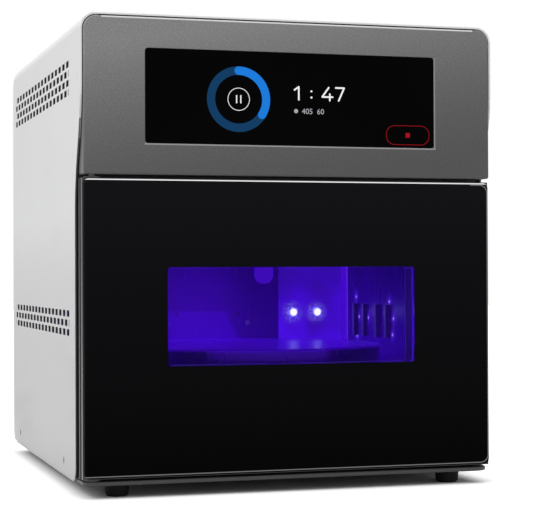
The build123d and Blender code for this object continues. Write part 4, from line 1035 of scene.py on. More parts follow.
@dataclass
class Palette:
    """All finishes of the object, each made once."""

    casing: PowderCoat = PowderCoat(
        "casing_white_coat", (0.86, 0.86, 0.868), roughness=0.42, grain=700.0, speckle=0.012, cloud=0.02,
        # Painted shade: the casing gets darker towards the bottom.
        painted_shade=0.5, painted_shade_span=(0.0, 0.2),
        painted_light_patches=(
            # Painted shade on the walls of the side vent slots.
            PaintedLightPatch((0.1500, 0.15494), (-0.1485, 0.155), (0.03, 0.322), (0.03, 0.03, 0.034)),
            # Painted shade along the cover's front edge by the door, getting lighter upwards by the panel.
            PaintedLightPatch((0.1526, 0.15494), (-0.1720, -0.1400), (0.0125, 0.238), (0.03, 0.03, 0.034)),
            PaintedLightPatch((0.1532, 0.15494), (-0.1720, -0.1400), (0.238, 0.252), (0.06, 0.06, 0.064)),
            PaintedLightPatch((0.1538, 0.15494), (-0.1720, -0.1400), (0.252, 0.266), (0.14, 0.14, 0.144)),
            # Painted highlight on the cover's front edge beside the panel.
            PaintedLightPatch((0.1526, 0.1552), (-0.171, -0.1683), (0.262, 0.333), (0.97, 0.97, 0.975)),
            # Painted highlight along the cover's top front edge.
            PaintedLightPatch((0.0, 0.145), (-0.171, -0.1683), (0.3378, 0.342), (0.97, 0.97, 0.975)),
        ),
    )
    panel: PowderCoat = PowderCoat(
        "panel_grey_coat", (0.266, 0.266, 0.268), roughness=0.46, grain=560.0, speckle=0.13, depth=0.13 * MM,
        # Painted shade: the panel gets darker towards the bottom and the right.
        specular=0.28, painted_shade=0.68, painted_shade_span=(0.212, 0.34), painted_shade_across=0.16,
        painted_light_patches=(
            # Painted shade in the gap between the panel's top edge and the cover.
            PaintedLightPatch((0.0, 0.1420), (-0.171, -0.1600), (0.33735, 0.339), (0.006, 0.006, 0.006)),
            # Painted highlight along the panel's top edge.
            PaintedLightPatch((0.0, 0.1400), (-0.171, -0.1600), (0.33630, 0.33735), (0.85, 0.85, 0.86)),
            # Painted highlights along the lower and right edges of the display opening.
            PaintedLightPatch((-0.1093, 0.1101), (-0.1705, -0.1660), (0.24775, 0.2488), (0.40, 0.40, 0.41), False),
            PaintedLightPatch((0.1090, 0.1099), (-0.1705, -0.1660), (0.24775, 0.3158), (0.34, 0.34, 0.35), False),
        ),
    )
    dark_coat: PowderCoat = PowderCoat("dark_frame_coat", (0.02, 0.02, 0.022), grain=1200.0)
    # Painted sheen: the door's gloss black is painted paler upwards.
    door_gloss: GlossPlate = GlossPlate(
        "door_gloss_black", (0.0008, 0.0008, 0.001), roughness=0.12, specular=0.012, grain=60.0,
        depth=0.01 * MM, strength=0.08, marks=0.05, dust=0.01, painted_sheen_span=(0.02, 0.24),
    )
    door_matt: Moulding = Moulding("door_frame_black", (0.012, 0.012, 0.013), roughness=0.38)
    door_inner: LitMoulding = LitMoulding("door_opening_black", (0.012, 0.012, 0.013), roughness=0.38)
    fitting: Moulding = Moulding("fitting_black", (0.016, 0.016, 0.017), roughness=0.42)
    rubber: Moulding = Moulding(
        "foot_rubber", (0.005, 0.005, 0.005), roughness=0.7, specular=0.15, grain=1900.0, depth=0.05 * MM,
        dust=0.12,
    )
    seal: Moulding = Moulding("seal_rubber", (0.014, 0.014, 0.015), roughness=0.62, specular=0.35)
    nylon: Moulding = Moulding("natural_nylon", (0.66, 0.65, 0.6), roughness=0.4)
    screen: Moulding = Moulding(
        "screen_glass", (0.0006, 0.0006, 0.0008), roughness=0.06, specular=0.018, grain=80.0,
        depth=0.01 * MM, strength=0.03, marks=0.03, dust=0.0,
    )
    screw: BareMetal = BareMetal("screw_steel", (0.42, 0.42, 0.43), lines=2500.0)
    fan_screw: LitMetal = LitMetal("fan_screw_steel", (0.2, 0.2, 0.22), lines=2500.0)
    dark_screw: BareMetal = BareMetal("dark_screw_steel", (0.10, 0.10, 0.105), roughness=0.35, lines=2500.0)
    zinc: BareMetal = BareMetal("zinc_plate", (0.5, 0.51, 0.53), roughness=0.28, along=Axis.Z)
    aluminium: BareMetal = BareMetal("bare_aluminium", (0.62, 0.62, 0.64), along=Axis.Z)
    brass: BareMetal = BareMetal("turned_brass", (0.66, 0.5, 0.22), roughness=0.25, lines=3000.0)
    nickel: BareMetal = BareMetal("nickel_plate", (0.6, 0.59, 0.56), roughness=0.16, lines=3000.0)
    board: CircuitBoard = CircuitBoard("circuit_board", (0.012, 0.07, 0.03), (0.03, 0.13, 0.05))
    made: dict[str, Material] = field(default_factory=dict)

    def get(self, finish: Finish) -> Material:
        """The material of a finish, made at its first use.

        Args:
            finish: The finish.

        Returns:
            Its material.
        """
        if finish.name not in self.made:
            self.made[finish.name] = finish.build()
        return self.made[finish.name]

    def colour(self, finish: Finish, *nodes: str) -> None:
        """Give CAD nodes a finish.

        Args:
            finish: The finish.
            nodes: Names of the nodes.
        """
        for node in nodes:
            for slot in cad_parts[node].material_slots:
                slot.material = self.get(finish)


# Modelling by hand


class Bench:
    """The modeller's tools: what is done by hand in Blender, as short methods."""

    @staticmethod
    def clear() -> None:
        """Leave edit mode and select nothing."""
        if bpy.context.object and bpy.context.object.mode != "OBJECT":
            bpy.ops.object.mode_set(mode="OBJECT")
        bpy.ops.object.select_all(action="DESELECT")

    @staticmethod
    def pick(piece: Object) -> None:
        """Make a piece the only selected and the active one.

        Args:
            piece: The piece.
        """
        Bench.clear()
        piece.select_set(True)
        bpy.context.view_layer.objects.active = piece

    @staticmethod
    def named(piece: Object, name: str) -> Object:
        """Name a piece and its mesh.

        Args:
            piece: The piece.
            name: The name.

        Returns:
            The piece.
        """
        piece.name = name
        piece.data.name = name
        return piece

    @staticmethod
    def settle(piece: Object) -> Object:
        """Put a piece's place and turn into its mesh.

        Args:
            piece: The piece.

        Returns:
            The piece.
        """
        Bench.pick(piece)
        bpy.ops.object.transform_apply(location=True, rotation=True, scale=True)
        return piece

    @staticmethod
    def block(name: str, low: Point, high: Point) -> Object:
        """A block between two corners.

        Args:
            name: Name of the piece.
            low: Lowest corner in metres.
            high: Highest corner in metres.

        Returns:
            The new object.
        """
        Bench.clear()
        bpy.ops.mesh.primitive_cube_add(size=1.0, location=[(a + b) / 2 for a, b in zip(low, high)])
        piece = Bench.named(bpy.context.object, name)
        piece.scale = [b - a for a, b in zip(low, high)]
        return Bench.settle(piece)

    @staticmethod
    @contextmanager
    def editing(piece: Object) -> Iterator[None]:
        """Edit the whole mesh of a piece, and leave edit mode at the end.

        Args:
            piece: The piece.
        """
        Bench.pick(piece)
        bpy.ops.object.mode_set(mode="EDIT")
        bpy.ops.mesh.select_all(action="SELECT")
        yield
        bpy.ops.object.mode_set(mode="OBJECT")

    @staticmethod
    @contextmanager
    def choosing(piece: Object, kind: str, test: Callable[[object], bool]) -> Iterator[None]:
        """Edit a part of a piece's mesh, and leave edit mode at the end.

        Args:
            piece: The piece.
            kind: VERT for its vertices or FACE for its faces.
            test: Says of each of them whether it is in the part.
        """
        Bench.pick(piece)
        bpy.ops.object.mode_set(mode="EDIT")
        bpy.ops.mesh.select_mode(type=kind)
        bpy.ops.mesh.select_all(action="DESELECT")
        bpy.ops.object.mode_set(mode="OBJECT")
        for element in piece.data.vertices if kind == "VERT" else piece.data.polygons:
            element.select = test(element)
        bpy.ops.object.mode_set(mode="EDIT")
        yield
        bpy.ops.object.mode_set(mode="OBJECT")

    @staticmethod
    def modify(piece: Object, kind: str, **settings: object) -> None:
        """Add a modifier to a piece and apply it.

        Args:
            piece: The piece.
            kind: Type name of the modifier.
            settings: Properties of the modifier by name.
        """
        Bench.pick(piece)
        tool = piece.modifiers.new(kind.lower(), kind)
        for name, value in settings.items():
            setattr(tool, name, value)
        bpy.ops.object.modifier_apply(modifier=tool.name)

    @staticmethod
    def bevel(piece: Object, width: float, segments: int = 2, angle: float = 40.0) -> None:
        """Round the sharp edges of a piece.

        Args:
            piece: The piece.
            width: Width of the rounding in metres.
            segments: Steps of the rounding.
            angle: Edges that turn by more than this are rounded, in degrees.
        """
        Bench.modify(
            piece, "BEVEL", width=width, segments=segments, limit_method="ANGLE",
            angle_limit=math.radians(angle), use_clamp_overlap=False, loop_slide=False,
        )

    @staticmethod
    def cut(piece: Object, tools: list[Object]) -> None:
        """Cut other pieces out of a piece and throw them away.

        Args:
            piece: The piece that is cut.
            tools: The pieces that are taken out of it.
        """
        for tool in tools:
            Bench.modify(piece, "BOOLEAN", object=tool, operation="DIFFERENCE", solver="EXACT")
            bpy.data.objects.remove(tool)

    @staticmethod
    def smooth(piece: Object, angle: float = 32.0) -> None:
        """Shade a piece smooth up to an angle, in degrees."""
        Bench.pick(piece)
        bpy.ops.object.shade_smooth_by_angle(angle=math.radians(angle))

    @staticmethod
    def merge(name: str, pieces: list[Object]) -> Object:
        """Join pieces into one object.

        Args:
            name: Name of the joined piece.
            pieces: The pieces.

        Returns:
            The joined object.
        """
        Bench.clear()
        for piece in pieces:
            piece.select_set(True)
        bpy.context.view_layer.objects.active = pieces[0]
        bpy.ops.object.join()
        return Bench.named(pieces[0], name)

    @staticmethod
    def double(name: str, node: str) -> Object:
        """A merged, cleaned copy of a CAD node's mesh, to be finished by hand.

        Args:
            name: Name of the copy.
            node: Name of the CAD node.

        Returns:
            The copy.
        """
        piece = bpy.data.objects.new(name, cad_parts[node].data.copy())
        piece.data.name = name
        bpy.context.scene.collection.objects.link(piece)
        with Bench.editing(piece):
            bpy.ops.mesh.remove_doubles(threshold=0.002 * MM)
        return piece

    @staticmethod
    def dress(piece: Object, material: Material) -> None:
        """Give a piece one material all over.

        Args:
            piece: The piece.
            material: The material.
        """
        piece.data.materials.clear()
        piece.data.materials.append(material)
        for polygon in piece.data.polygons:
            polygon.material_index = 0

    @staticmethod
    def mount(piece: Object, body: Body, slot: str, *nodes: str) -> None:
        """Let a piece ride on a body and hide the CAD nodes that it replaces.

        Args:
            piece: The finished piece.
            body: The body that carries it.
            slot: The record's material slot; not used.
            nodes: CAD nodes that it replaces.
        """
        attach(piece, body.value)
        if nodes:
            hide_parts(*nodes)
        log.info("%s: %d faces", piece.name, len(piece.data.polygons))


@dataclass(frozen=True)
class Recess:
    """Cross recess of a screw head: length, depth and width of its bars."""

    length: float
    depth: float
    bar: float

    def cutters(self, heads: list[Head]) -> list[Object]:
        """Cross-shaped cutters for screw heads.

        Args:
            heads: Centre of each head in metres, and the direction that it faces.

        Returns:
            The cutters.
        """
        bars = []
        for place, facing in heads:
            turn = Vector((0.0, 0.0, 1.0)).rotation_difference(Vector(facing)).to_matrix().to_4x4()
            for size in ((self.length, self.bar), (self.bar, self.length)):
                Bench.clear()
                bpy.ops.mesh.primitive_cube_add(size=1.0)
                bar = bpy.context.object
                extent = Matrix.Diagonal((*size, 2.0 * self.depth, 1.0))
                bar.matrix_world = Matrix.Translation(place) @ turn @ extent
                bars.append(Bench.settle(bar))
        return bars


# Sub-assemblies


@dataclass
class Assembly:
    """What every sub-assembly starts from: the finishes, and ways to dress CAD nodes."""

    palette: Palette

    def soften(
        self, node: str, width: float, slot: str, finish: Finish, body: Body = Body.CABINET
    ) -> None:
        """Replace a node by a copy with its edges rounded as the real sheet or moulding has them.

        Args:
            node: Name of the CAD node.
            width: Width of the rounding in metres.
            slot: The record's material slot.
            finish: The finish.
            body: Body that carries it.
        """
        piece = Bench.double(f"{node}_edged", node)
        Bench.bevel(piece, width)
        Bench.smooth(piece)
        Bench.modify(piece, "WEIGHTED_NORMAL", keep_sharp=True, weight=100)
        Bench.dress(piece, self.palette.get(finish))
        Bench.mount(piece, body, slot, node)

    def cross(
        self, node: str, recess: Recess, heads: list[Head], finish: Finish, body: Body = Body.CABINET
    ) -> None:
        """Replace screws by a copy with a cross recess in each head.

        Args:
            node: Name of the CAD node with the screws.
            recess: Sizes of the recess.
            heads: Centre of each head in metres, and the direction that it faces.
            finish: The finish.
            body: Body that carries them.
        """
        piece = Bench.double(f"{node}_crossed", node)
        Bench.cut(piece, recess.cutters(heads))
        Bench.smooth(piece)
        Bench.dress(piece, self.palette.get(finish))
        Bench.mount(piece, body, "screw_steel", node)


@dataclass
class Casing(Assembly):
    """Sheet-metal casing with its feet, rear panel and screws."""

    sheet_edge: float = 0.35 * MM
    trim_edge: float = 0.5 * MM
    panel_edge: float = 0.2 * MM
    recess: Recess = Recess(2.6 * MM, 0.9 * MM, 0.7 * MM)
    head_radius: float = 2.6 * MM

    def build(self) -> None:
        """Dress the casing."""
        palette = self.palette
        self.soften("wrap_cover", self.sheet_edge, "white_coat", palette.casing)
        self.soften("base_trim", self.trim_edge, "dark_coat", palette.dark_coat)
        self.soften("rear_panel", self.panel_edge, "white_coat", palette.casing)
        palette.colour(palette.casing, "base_pan")
        palette.colour(palette.rubber, "rubber_feet")
        self.cross("cover_screws", self.recess, self.side_heads(), palette.dark_screw)
        self.cross("rear_screws", self.recess, self.rear_heads(), palette.screw)

    def side_heads(self) -> list[Head]:
        """Heads of the screws low on the sides.

        Returns:
            Centre of each head and the direction that it faces.
        """
        low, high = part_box("cover_screws")
        middle = (low.z + high.z) / 2
        deep = (low.y + self.head_radius, high.y - self.head_radius)
        return [((side * high.x, y, middle), (side, 0.0, 0.0)) for side in (-1.0, 1.0) for y in deep]

    def rear_heads(self) -> list[Head]:
        """Heads of the screws on the back.

        Returns:
            Centre of each head and the direction that it faces.
        """
        low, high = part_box("rear_screws")
        spread = high.x - self.head_radius
        flange_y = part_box("base_pan")[1].y
        rows = ((flange_y, low.z + self.head_radius), (high.y, high.z - self.head_radius))
        return [((x, y, z), (0.0, 1.0, 0.0)) for x in (-spread, 0.0, spread) for y, z in rows]


@dataclass
class ScreenFace(Assembly):
    """Lit symbols and figures behind the front glass of the display."""

    glass_edge: float = 0.25 * MM
    ring_x: float = -40.7 * MM
    ring_z: float = 281.4 * MM
    ring_outer: float = 23.4 * MM
    ring_inner: float = 17.4 * MM
    arc_sweep: float = 122.0
    button_radius: float = 8.2 * MM
    button_line: float = 0.45 * MM
    pause_width: float = 0.85 * MM
    pause_height: float = 5.8 * MM
    pause_gap: float = 3.1 * MM
    time_x: float = -2.1 * MM
    time_z: float = 282.2 * MM
    time_height: float = 9.3 * MM
    time_stroke: float = 1.2 * MM
    time_dots: float = 16.0 * MM
    note_text: str = "405  60"
    note_x: float = 6.6 * MM
    note_z: float = 272.0 * MM
    note_height: float = 3.9 * MM
    note_dot: float = 1.5 * MM
    note_dot_gap: float = 4.4 * MM
    pill_x: Span = (71.3 * MM, 105.3 * MM)
    pill_z: Span = (251.0 * MM, 265.3 * MM)
    pill_line: float = 0.34 * MM
    pill_round: float = 0.47
    stop_size: float = 3.4 * MM
    stop_corner: float = 0.4 * MM
    skin: float = 0.03 * MM
    face_y: float = field(init=False, default=0.0)
    bright: Lamp = Lamp("screen_blue", (0.014, 0.21, 0.75), ripple=0.12)
    dim: Lamp = Lamp("screen_deep_blue", (0.008, 0.05, 0.135), ripple=0.12)
    white: Lamp = Lamp("screen_white", (0.92, 0.93, 0.95), ripple=0.04)
    grey: Lamp = Lamp("screen_grey", (0.42, 0.43, 0.45), ripple=0.08)
    red: Lamp = Lamp("screen_red", (0.40, 0.008, 0.014), ripple=0.1)

    def build(self) -> None:
        """Dress the glass and lay the symbols on it."""
        self.soften("display_glass", self.glass_edge, "display_pane", self.palette.screen)
        self.face_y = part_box("display_glass")[0].y
        self.lay(self.band("screen_ring", self.ring_inner, self.ring_outer), self.dim)
        self.lay(self.arc(), self.bright, layer=2)
        self.lay(self.button(), self.white)
        self.lay(self.time_figures(), self.white)
        self.lay(self.note(), self.grey)
        self.lay(self.stop_button(), self.red)

    def arc(self) -> Object:
        """Bright round-ended part of the ring.

        Returns:
            The flat piece.
        """
        middle = (self.ring_outer + self.ring_inner) / 2
        cap = (self.ring_outer - self.ring_inner) / 2
        pieces = [self.band("arc", self.ring_inner, self.ring_outer, self.arc_sweep)]
        for turn in (0.0, math.radians(self.arc_sweep)):
            x = self.ring_x + middle * math.sin(turn)
            z = self.ring_z + middle * math.cos(turn)
            pieces.append(self.spot("arc_end", x, z, cap))
        return Bench.merge("screen_arc", pieces)

    def button(self) -> Object:
        """Pause symbol in a thin circle.

        Returns:
            The flat piece.
        """
        pieces = [self.band("screen_button", self.button_radius - self.button_line, self.button_radius)]
        for side in (-0.5, 0.5):
            x = self.ring_x + side * self.pause_gap
            pieces.append(self.tile("pause_bar", (x, self.ring_z), (self.pause_width, self.pause_height)))
        return Bench.merge("screen_button", pieces)

    def time_figures(self) -> Object:
        """Minutes and seconds, drawn with round-ended strokes.

        The ends are given in millimetres across and in shares of the height.

        Returns:
            The flat piece.
        """
        strokes = (
            ((3.2, 0.76), (6.4, 1.0)),
            ((6.4, 0.0), (6.4, 1.0)),
            ((24.2, 0.27), (32.2, 0.27)),
            ((24.2, 0.27), (29.2, 1.0)),
            ((30.0, 0.0), (30.0, 0.5)),
            ((34.6, 1.0), (41.0, 1.0)),
            ((36.8, 0.0), (41.0, 1.0)),
        )
        pieces = []
        for ends in strokes:
            pieces += self.stroke(
                *((self.time_x + across * MM, self.time_z + up * self.time_height) for across, up in ends)
            )
        for share in (0.2, 0.68):
            x = self.time_x + self.time_dots
            z = self.time_z + share * self.time_height
            pieces.append(self.spot("time_dot", x, z, 0.62 * self.time_stroke))
        return Bench.merge("screen_time", pieces)

    def stroke(self, start: Flat, end: Flat) -> list[Object]:
        """A straight round-ended stroke on the glass.

        Args:
            start: Place of its start, across and up.
            end: Place of its end.

        Returns:
            The stroke's bar and its two round ends.
        """
        across, up = end[0] - start[0], end[1] - start[1]
        middle = ((start[0] + end[0]) / 2, (start[1] + end[1]) / 2)
        size = (math.hypot(across, up), self.time_stroke)
        bar = self.tile("time_stroke", middle, size, slope=math.atan2(up, across))
        return [bar, *(self.spot("time_stroke", *place, self.time_stroke / 2) for place in (start, end))]

    def note(self) -> Object:
        """Small generic figures with a dot before them.

        Returns:
            The flat piece.
        """
        Bench.clear()
        bpy.ops.object.text_add(rotation=(math.pi / 2, 0.0, 0.0))
        piece = Bench.named(bpy.context.object, "note")
        piece.data.body = self.note_text
        piece.data.resolution_u = 6
        Bench.pick(piece)
        bpy.ops.object.convert(target="MESH")
        piece = Bench.settle(bpy.context.object)
        low_x = min(v.co.x for v in piece.data.vertices)
        low_z = min(v.co.z for v in piece.data.vertices)
        size = self.note_height / (max(v.co.z for v in piece.data.vertices) - low_z)
        low = (self.note_x - low_x * size, self.face_y, self.note_z - low_z * size)
        piece.matrix_world = Matrix.Translation(low) @ Matrix.Diagonal((size, 1.0, size, 1.0))
        Bench.settle(piece)
        dot_z = self.note_z + self.note_height / 2
        dot = self.spot("note_dot", self.note_x - self.note_dot_gap, dot_z, self.note_dot)
        return Bench.merge("screen_note", [piece, dot])

    def stop_button(self) -> Object:
        """Outlined key with a square stop symbol.

        Returns:
            The flat piece.
        """
        middle = (sum(self.pill_x) / 2, sum(self.pill_z) / 2)
        width = self.pill_x[1] - self.pill_x[0]
        height = self.pill_z[1] - self.pill_z[0]
        outline = self.tile("pill", middle, (width, height), height * self.pill_round)
        with Bench.editing(outline):
            bpy.ops.mesh.inset(thickness=self.pill_line, depth=0.0)
            bpy.ops.mesh.delete(type="FACE")
        square = self.tile("stop", middle, (self.stop_size, self.stop_size), self.stop_corner)
        return Bench.merge("screen_stop", [outline, square])

    def band(self, name: str, inner: float, outer: float, sweep: float = 360.0) -> Object:
        """A flat band round the middle of the ring, clockwise from the top.

        Args:
            name: Name of the piece.
            inner: Inner radius.
            outer: Outer radius.
            sweep: Length of the band in degrees.

        Returns:
            The flat piece.
        """
        Bench.clear()
        bpy.ops.mesh.primitive_plane_add(size=1.0, rotation=(math.pi / 2, 0.0, 0.0))
        piece = Bench.named(bpy.context.object, name)
        centre = (self.ring_x, self.face_y, self.ring_z)
        piece.matrix_world = (
            Matrix.Translation(centre)
            @ Matrix.Translation((0.0, 0.0, (inner + outer) / 2))
            @ Matrix.Rotation(math.pi / 2, 4, "X")
            @ Matrix.Diagonal((0.002 * MM, outer - inner, 1.0, 1.0))
        )
        Bench.settle(piece)
        right = max(v.co.x for v in piece.data.vertices) - 0.001 * MM
        with Bench.choosing(piece, "VERT", lambda vertex: vertex.co.x > right):
            steps = max(8, int(sweep / 3.0))
            bpy.ops.mesh.spin(steps=steps, angle=-math.radians(sweep), center=centre, axis=(0.0, 1.0, 0.0))
            bpy.ops.mesh.select_all(action="SELECT")
            bpy.ops.mesh.remove_doubles(threshold=0.004 * MM)
        return piece

    def spot(self, name: str, x: float, z: float, radius: float) -> Object:
        """A flat round spot on the glass.

        Args:
            name: Name of the piece.
            x: Centre across.
            z: Centre's height.
            radius: Radius of the spot.

        Returns:
            The flat piece.
        """
        Bench.clear()
        bpy.ops.mesh.primitive_circle_add(
            vertices=32, radius=radius, fill_type="NGON",
            location=(x, self.face_y, z), rotation=(math.pi / 2, 0.0, 0.0),
        )
        return Bench.settle(Bench.named(bpy.context.object, name))

    def tile(self, name: str, middle: Flat, size: Flat, corner: float = 0.0, slope: float = 0.0) -> Object:
        """A flat rectangle on the glass.

        Args:
            name: Name of the piece.
            middle: Centre, across and up.
            size: Width and height.
            corner: Radius of its corners, or 0.
            slope: Angle by which it rises to the right, in radians.

        Returns:
            The flat piece.
        """
        Bench.clear()
        bpy.ops.mesh.primitive_plane_add(size=1.0)
        piece = Bench.named(bpy.context.object, name)
        piece.matrix_world = (
            Matrix.Translation((middle[0], self.face_y, middle[1]))
            @ Matrix.Rotation(-slope, 4, "Y")
            @ Matrix.Rotation(math.pi / 2, 4, "X")
            @ Matrix.Diagonal((*size, 1.0, 1.0))
        )
        Bench.settle(piece)
        if corner > 0.0:
            with Bench.editing(piece):
                bpy.ops.mesh.bevel(offset=corner, segments=10, affect="VERTICES")
        return piece

    def lay(self, piece: Object, finish: Lamp, layer: int = 1) -> None:
        """Give a flat symbol its thickness and colour and let it ride on the cabinet.

        Args:
            piece: The flat piece.
            finish: Its glowing colour.
            layer: Symbols on a higher layer cover lower ones.
        """
        with Bench.choosing(piece, "FACE", lambda face: face.normal.y > 0.0):
            bpy.ops.mesh.flip_normals()
        Bench.modify(piece, "SOLIDIFY", thickness=layer * self.skin, offset=1.0)
        Bench.dress(piece, self.palette.get(finish))
        Bench.mount(piece, Body.CABINET, "display_pane")


@dataclass
class ControlHead(Assembly):
    """Grey control panel over the door."""

    sheet_edge: float = 0.35 * MM

    def build(self) -> None:
        """Dress the panel and what stands behind it."""
        palette = self.palette
        self.soften("control_panel", self.sheet_edge, "grey_coat", palette.panel)
        palette.colour(palette.fitting, "lcd_module")
        palette.colour(palette.zinc, "display_bracket")
        palette.colour(palette.board, "controller_board", "driver_board")
        palette.colour(palette.nylon, "display_ribbon")
        palette.colour(palette.brass, "board_standoffs")


@dataclass
class Door(Assembly):
    """Glossy black door with its tinted window."""

    pane: ClearPane = ClearPane("window_tint", (0.62, 0.45, 1.0), roughness=0.01, ior=1.06)
    plate_edge: float = 0.25 * MM
    frame_edge: float = 0.3 * MM
    recess: Recess = Recess(3.0 * MM, 0.45 * MM, 0.8 * MM)
    head_radius: float = 3.0 * MM

    def build(self) -> None:
        """Dress the door."""
        palette = self.palette
        self.soften("door_front", self.plate_edge, "gloss_black", palette.door_gloss, Body.DOOR)
        self.soften("door_frame", self.frame_edge, "dark_plastic", palette.door_inner, Body.DOOR)
        palette.colour(self.pane, "window_pane")
        palette.colour(palette.aluminium, "door_liner")
        palette.colour(palette.seal, "door_seal")
        palette.colour(palette.zinc, "strike_plates")
        palette.colour(palette.fitting, "door_sensor", "door_bushes")
        palette.colour(palette.dark_coat, "front_frame", "upper_hinge_bracket")
        palette.colour(palette.nickel, "door_magnets", "sensor_magnet")
        palette.colour(palette.dark_screw, "hinge_pins")
        self.cross("door_screws", self.recess, self.heads(), palette.screw, Body.DOOR)

    def heads(self) -> list[Head]:
        """Heads of the screws of the inner sheet.

        Returns:
            Centre of each head and the direction that it faces.
        """
        low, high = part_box("door_screws")
        spread = high.x - self.head_radius
        rows = (low.z + self.head_radius, high.z - self.head_radius)
        return [((x, high.y, z), (0.0, 1.0, 0.0)) for z in rows for x in (-spread, 0.0, spread)]


@dataclass
class Chamber(Assembly):
    """Polished chamber with its lamps, louvres, sensor and turntable."""

    # Glow colours of the lamps' violet light painted on the chamber; the sheet's and boards' base colours are
    # tinted violet by painted lamp light, and the louvre hoods' rim colour is a painted highlight.
    violet: Colour = (0.038, 0.0, 0.275)
    deep_violet: Colour = (0.053, 0.0, 0.405)
    dark_violet: Colour = (0.010, 0.0, 0.07)
    hood_rim_highlight: Colour = (0.30, 0.20, 0.80)
    sheet: Colour = (0.045, 0.008, 0.15)
    board_coat: Colour = (0.10, 0.08, 0.22)
    board_glow: Colour = (0.115, 0.004, 0.84)
    lens_glow: Colour = (0.07, 0.02, 0.45)
    lens_halo: Colour = (0.26, 0.40, 0.80)
    lens_core: Colour = (0.8, 1.0, 1.0)
    lens_radius: float = 5.0 * MM
    # The sensor cover is no lamp: its violet glow is painted light from the chamber's lamps.
    sensor: Lamp = Lamp("sensor_cover_painted_glow", (0.075, 0.0, 0.46), base=(0.1, 0.1, 0.2), ripple=0.2)
    glints: tuple[Point, ...] = (
        (0.1285, 0.0489, 0.1191),
        (0.1285, 0.0260, 0.1188),
        (0.1285, -0.0340, 0.1195),
        (0.1285, 0.0565, 0.1364),
        (0.1285, -0.0246, 0.1333),
        (0.1285, 0.0538, 0.1024),
        (0.1285, -0.0317, 0.1062),
    )
    guard_pitch: float = 1.25 * MM
    guard_wire: float = 1.16 * MM
    guard_thickness: float = 0.2 * MM
    guard_half_width: float = 31.0 * MM
    guard_low: float = 113.5 * MM
    guard_high: float = 180.0 * MM
    guard_gap: float = 0.15 * MM
    platter_edge: float = 0.3 * MM
    rim_low: float = 2.2 * MM
    rim_high: float = 0.8 * MM

    def build(self) -> None:
        """Dress the chamber."""
        low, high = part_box("chamber_liner")
        extent = {"floor_z": low.z, "ceiling_z": high.z, "front_y": low.y, "back_y": high.y}
        walls = LitSheet(
            "chamber_walls", self.sheet, self.violet, low=0.62, high_level=-0.05, glints=self.glints, **extent
        )
        back = MirroredWall(
            "chamber_back_wall", self.sheet, self.deep_violet, low=1.0, high_level=0.12, **extent
        )
        hoods = LitSheet("louvre_steel", self.sheet, self.dark_violet, low=0.8, rim=self.hood_rim_highlight, **extent)
        palette = self.palette
        palette.colour(walls, "chamber_liner")
        palette.colour(back, "chamber_back")
        palette.colour(hoods, "louvre_hoods")
        self.lamps()
        palette.colour(self.sensor, "chamber_sensor")
        palette.colour(palette.aluminium, "heat_sink_left", "heat_sink_right", "ceiling_heat_sink")
        self.fan_guard(back)
        self.turntable()

    def fan_guard(self, finish: Finish) -> None:
        """Fine wire mesh behind the fan slots, in the fan's mouth.

        Args:
            finish: The finish of the wires.
        """
        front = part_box("chamber_back")[1].y + self.guard_gap
        middle, back = front + self.guard_thickness, front + 2 * self.guard_thickness
        half, low, high = self.guard_half_width, self.guard_low, self.guard_high
        wire, pitch = self.guard_wire, self.guard_pitch
        upright = Bench.block("guard_upright", (-half, front, low), (-half + wire, middle, high))
        level = Bench.block("guard_level", (-half, middle, low), (half, back, low + wire))
        rows = ((upright, 2 * half, (pitch, 0.0, 0.0)), (level, high - low, (0.0, 0.0, pitch)))
        for row, length, step in rows:
            Bench.modify(
                row, "ARRAY", count=int(length / pitch), use_relative_offset=False,
                use_constant_offset=True, constant_offset_displace=step,
            )
        guard = Bench.merge("fan_guard_mesh", [upright, level])
        Bench.dress(guard, self.palette.get(finish))
        Bench.mount(guard, Body.CABINET, "mirror_sheet")

    def lens_centres(self, node: str) -> tuple[Point, ...]:
        """Centres of the four lenses of a node, from its box.

        Args:
            node: Name of the CAD node with the lenses.

        Returns:
            The centres in metres.
        """
        low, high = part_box(node)
        radius = self.lens_radius
        across = (low.x + radius, high.x - radius)
        if high.z - low.z > 2 * radius:
            return tuple((x, low.y, z) for x in across for z in (low.z + radius, high.z - radius))
        return tuple((x, y, low.z) for x in across for y in (low.y + radius, high.y - radius))

    def lamps(self) -> None:
        """Boards and lenses of the lamps."""
        for board, lenses in (
            ("rear_led_board_left", "rear_led_lenses_left"),
            ("rear_led_board_right", "rear_led_lenses_right"),
            ("ceiling_led_board", "ceiling_led_lenses"),
        ):
            centres = self.lens_centres(lenses)
            ground = LampBoard(f"{board}_glow", self.board_coat, self.board_glow, 1.0, centres)
            lens = LampBoard(
                f"{lenses}_light", self.board_coat, self.lens_glow, 2.2, centres, core=4.0 * MM,
                reach=11.5 * MM, core_light=self.lens_core, halo_light=self.lens_halo,
            )
            self.palette.colour(ground, board)
            self.palette.colour(lens, lenses)

    def turntable(self) -> None:
        """Turned platter and its drive."""
        low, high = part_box("platter")
        finish = LitSheet(
            "platter_metal", self.sheet, self.deep_violet, high.z - self.rim_low, high.z - self.rim_high,
            low.y, high.y, low=0.75, floor_level=0.2, high_level=0.95, cloud_depth=0.2, streak=0.02,
        )
        palette = self.palette
        self.soften("platter", self.platter_edge, "platter_gloss", finish, Body.TURNTABLE)
        palette.colour(palette.aluminium, "platter_hub")
        palette.colour(palette.screw, "drive_shaft")
        palette.colour(palette.brass, "shaft_bush")
        palette.colour(palette.zinc, "turntable_motor")


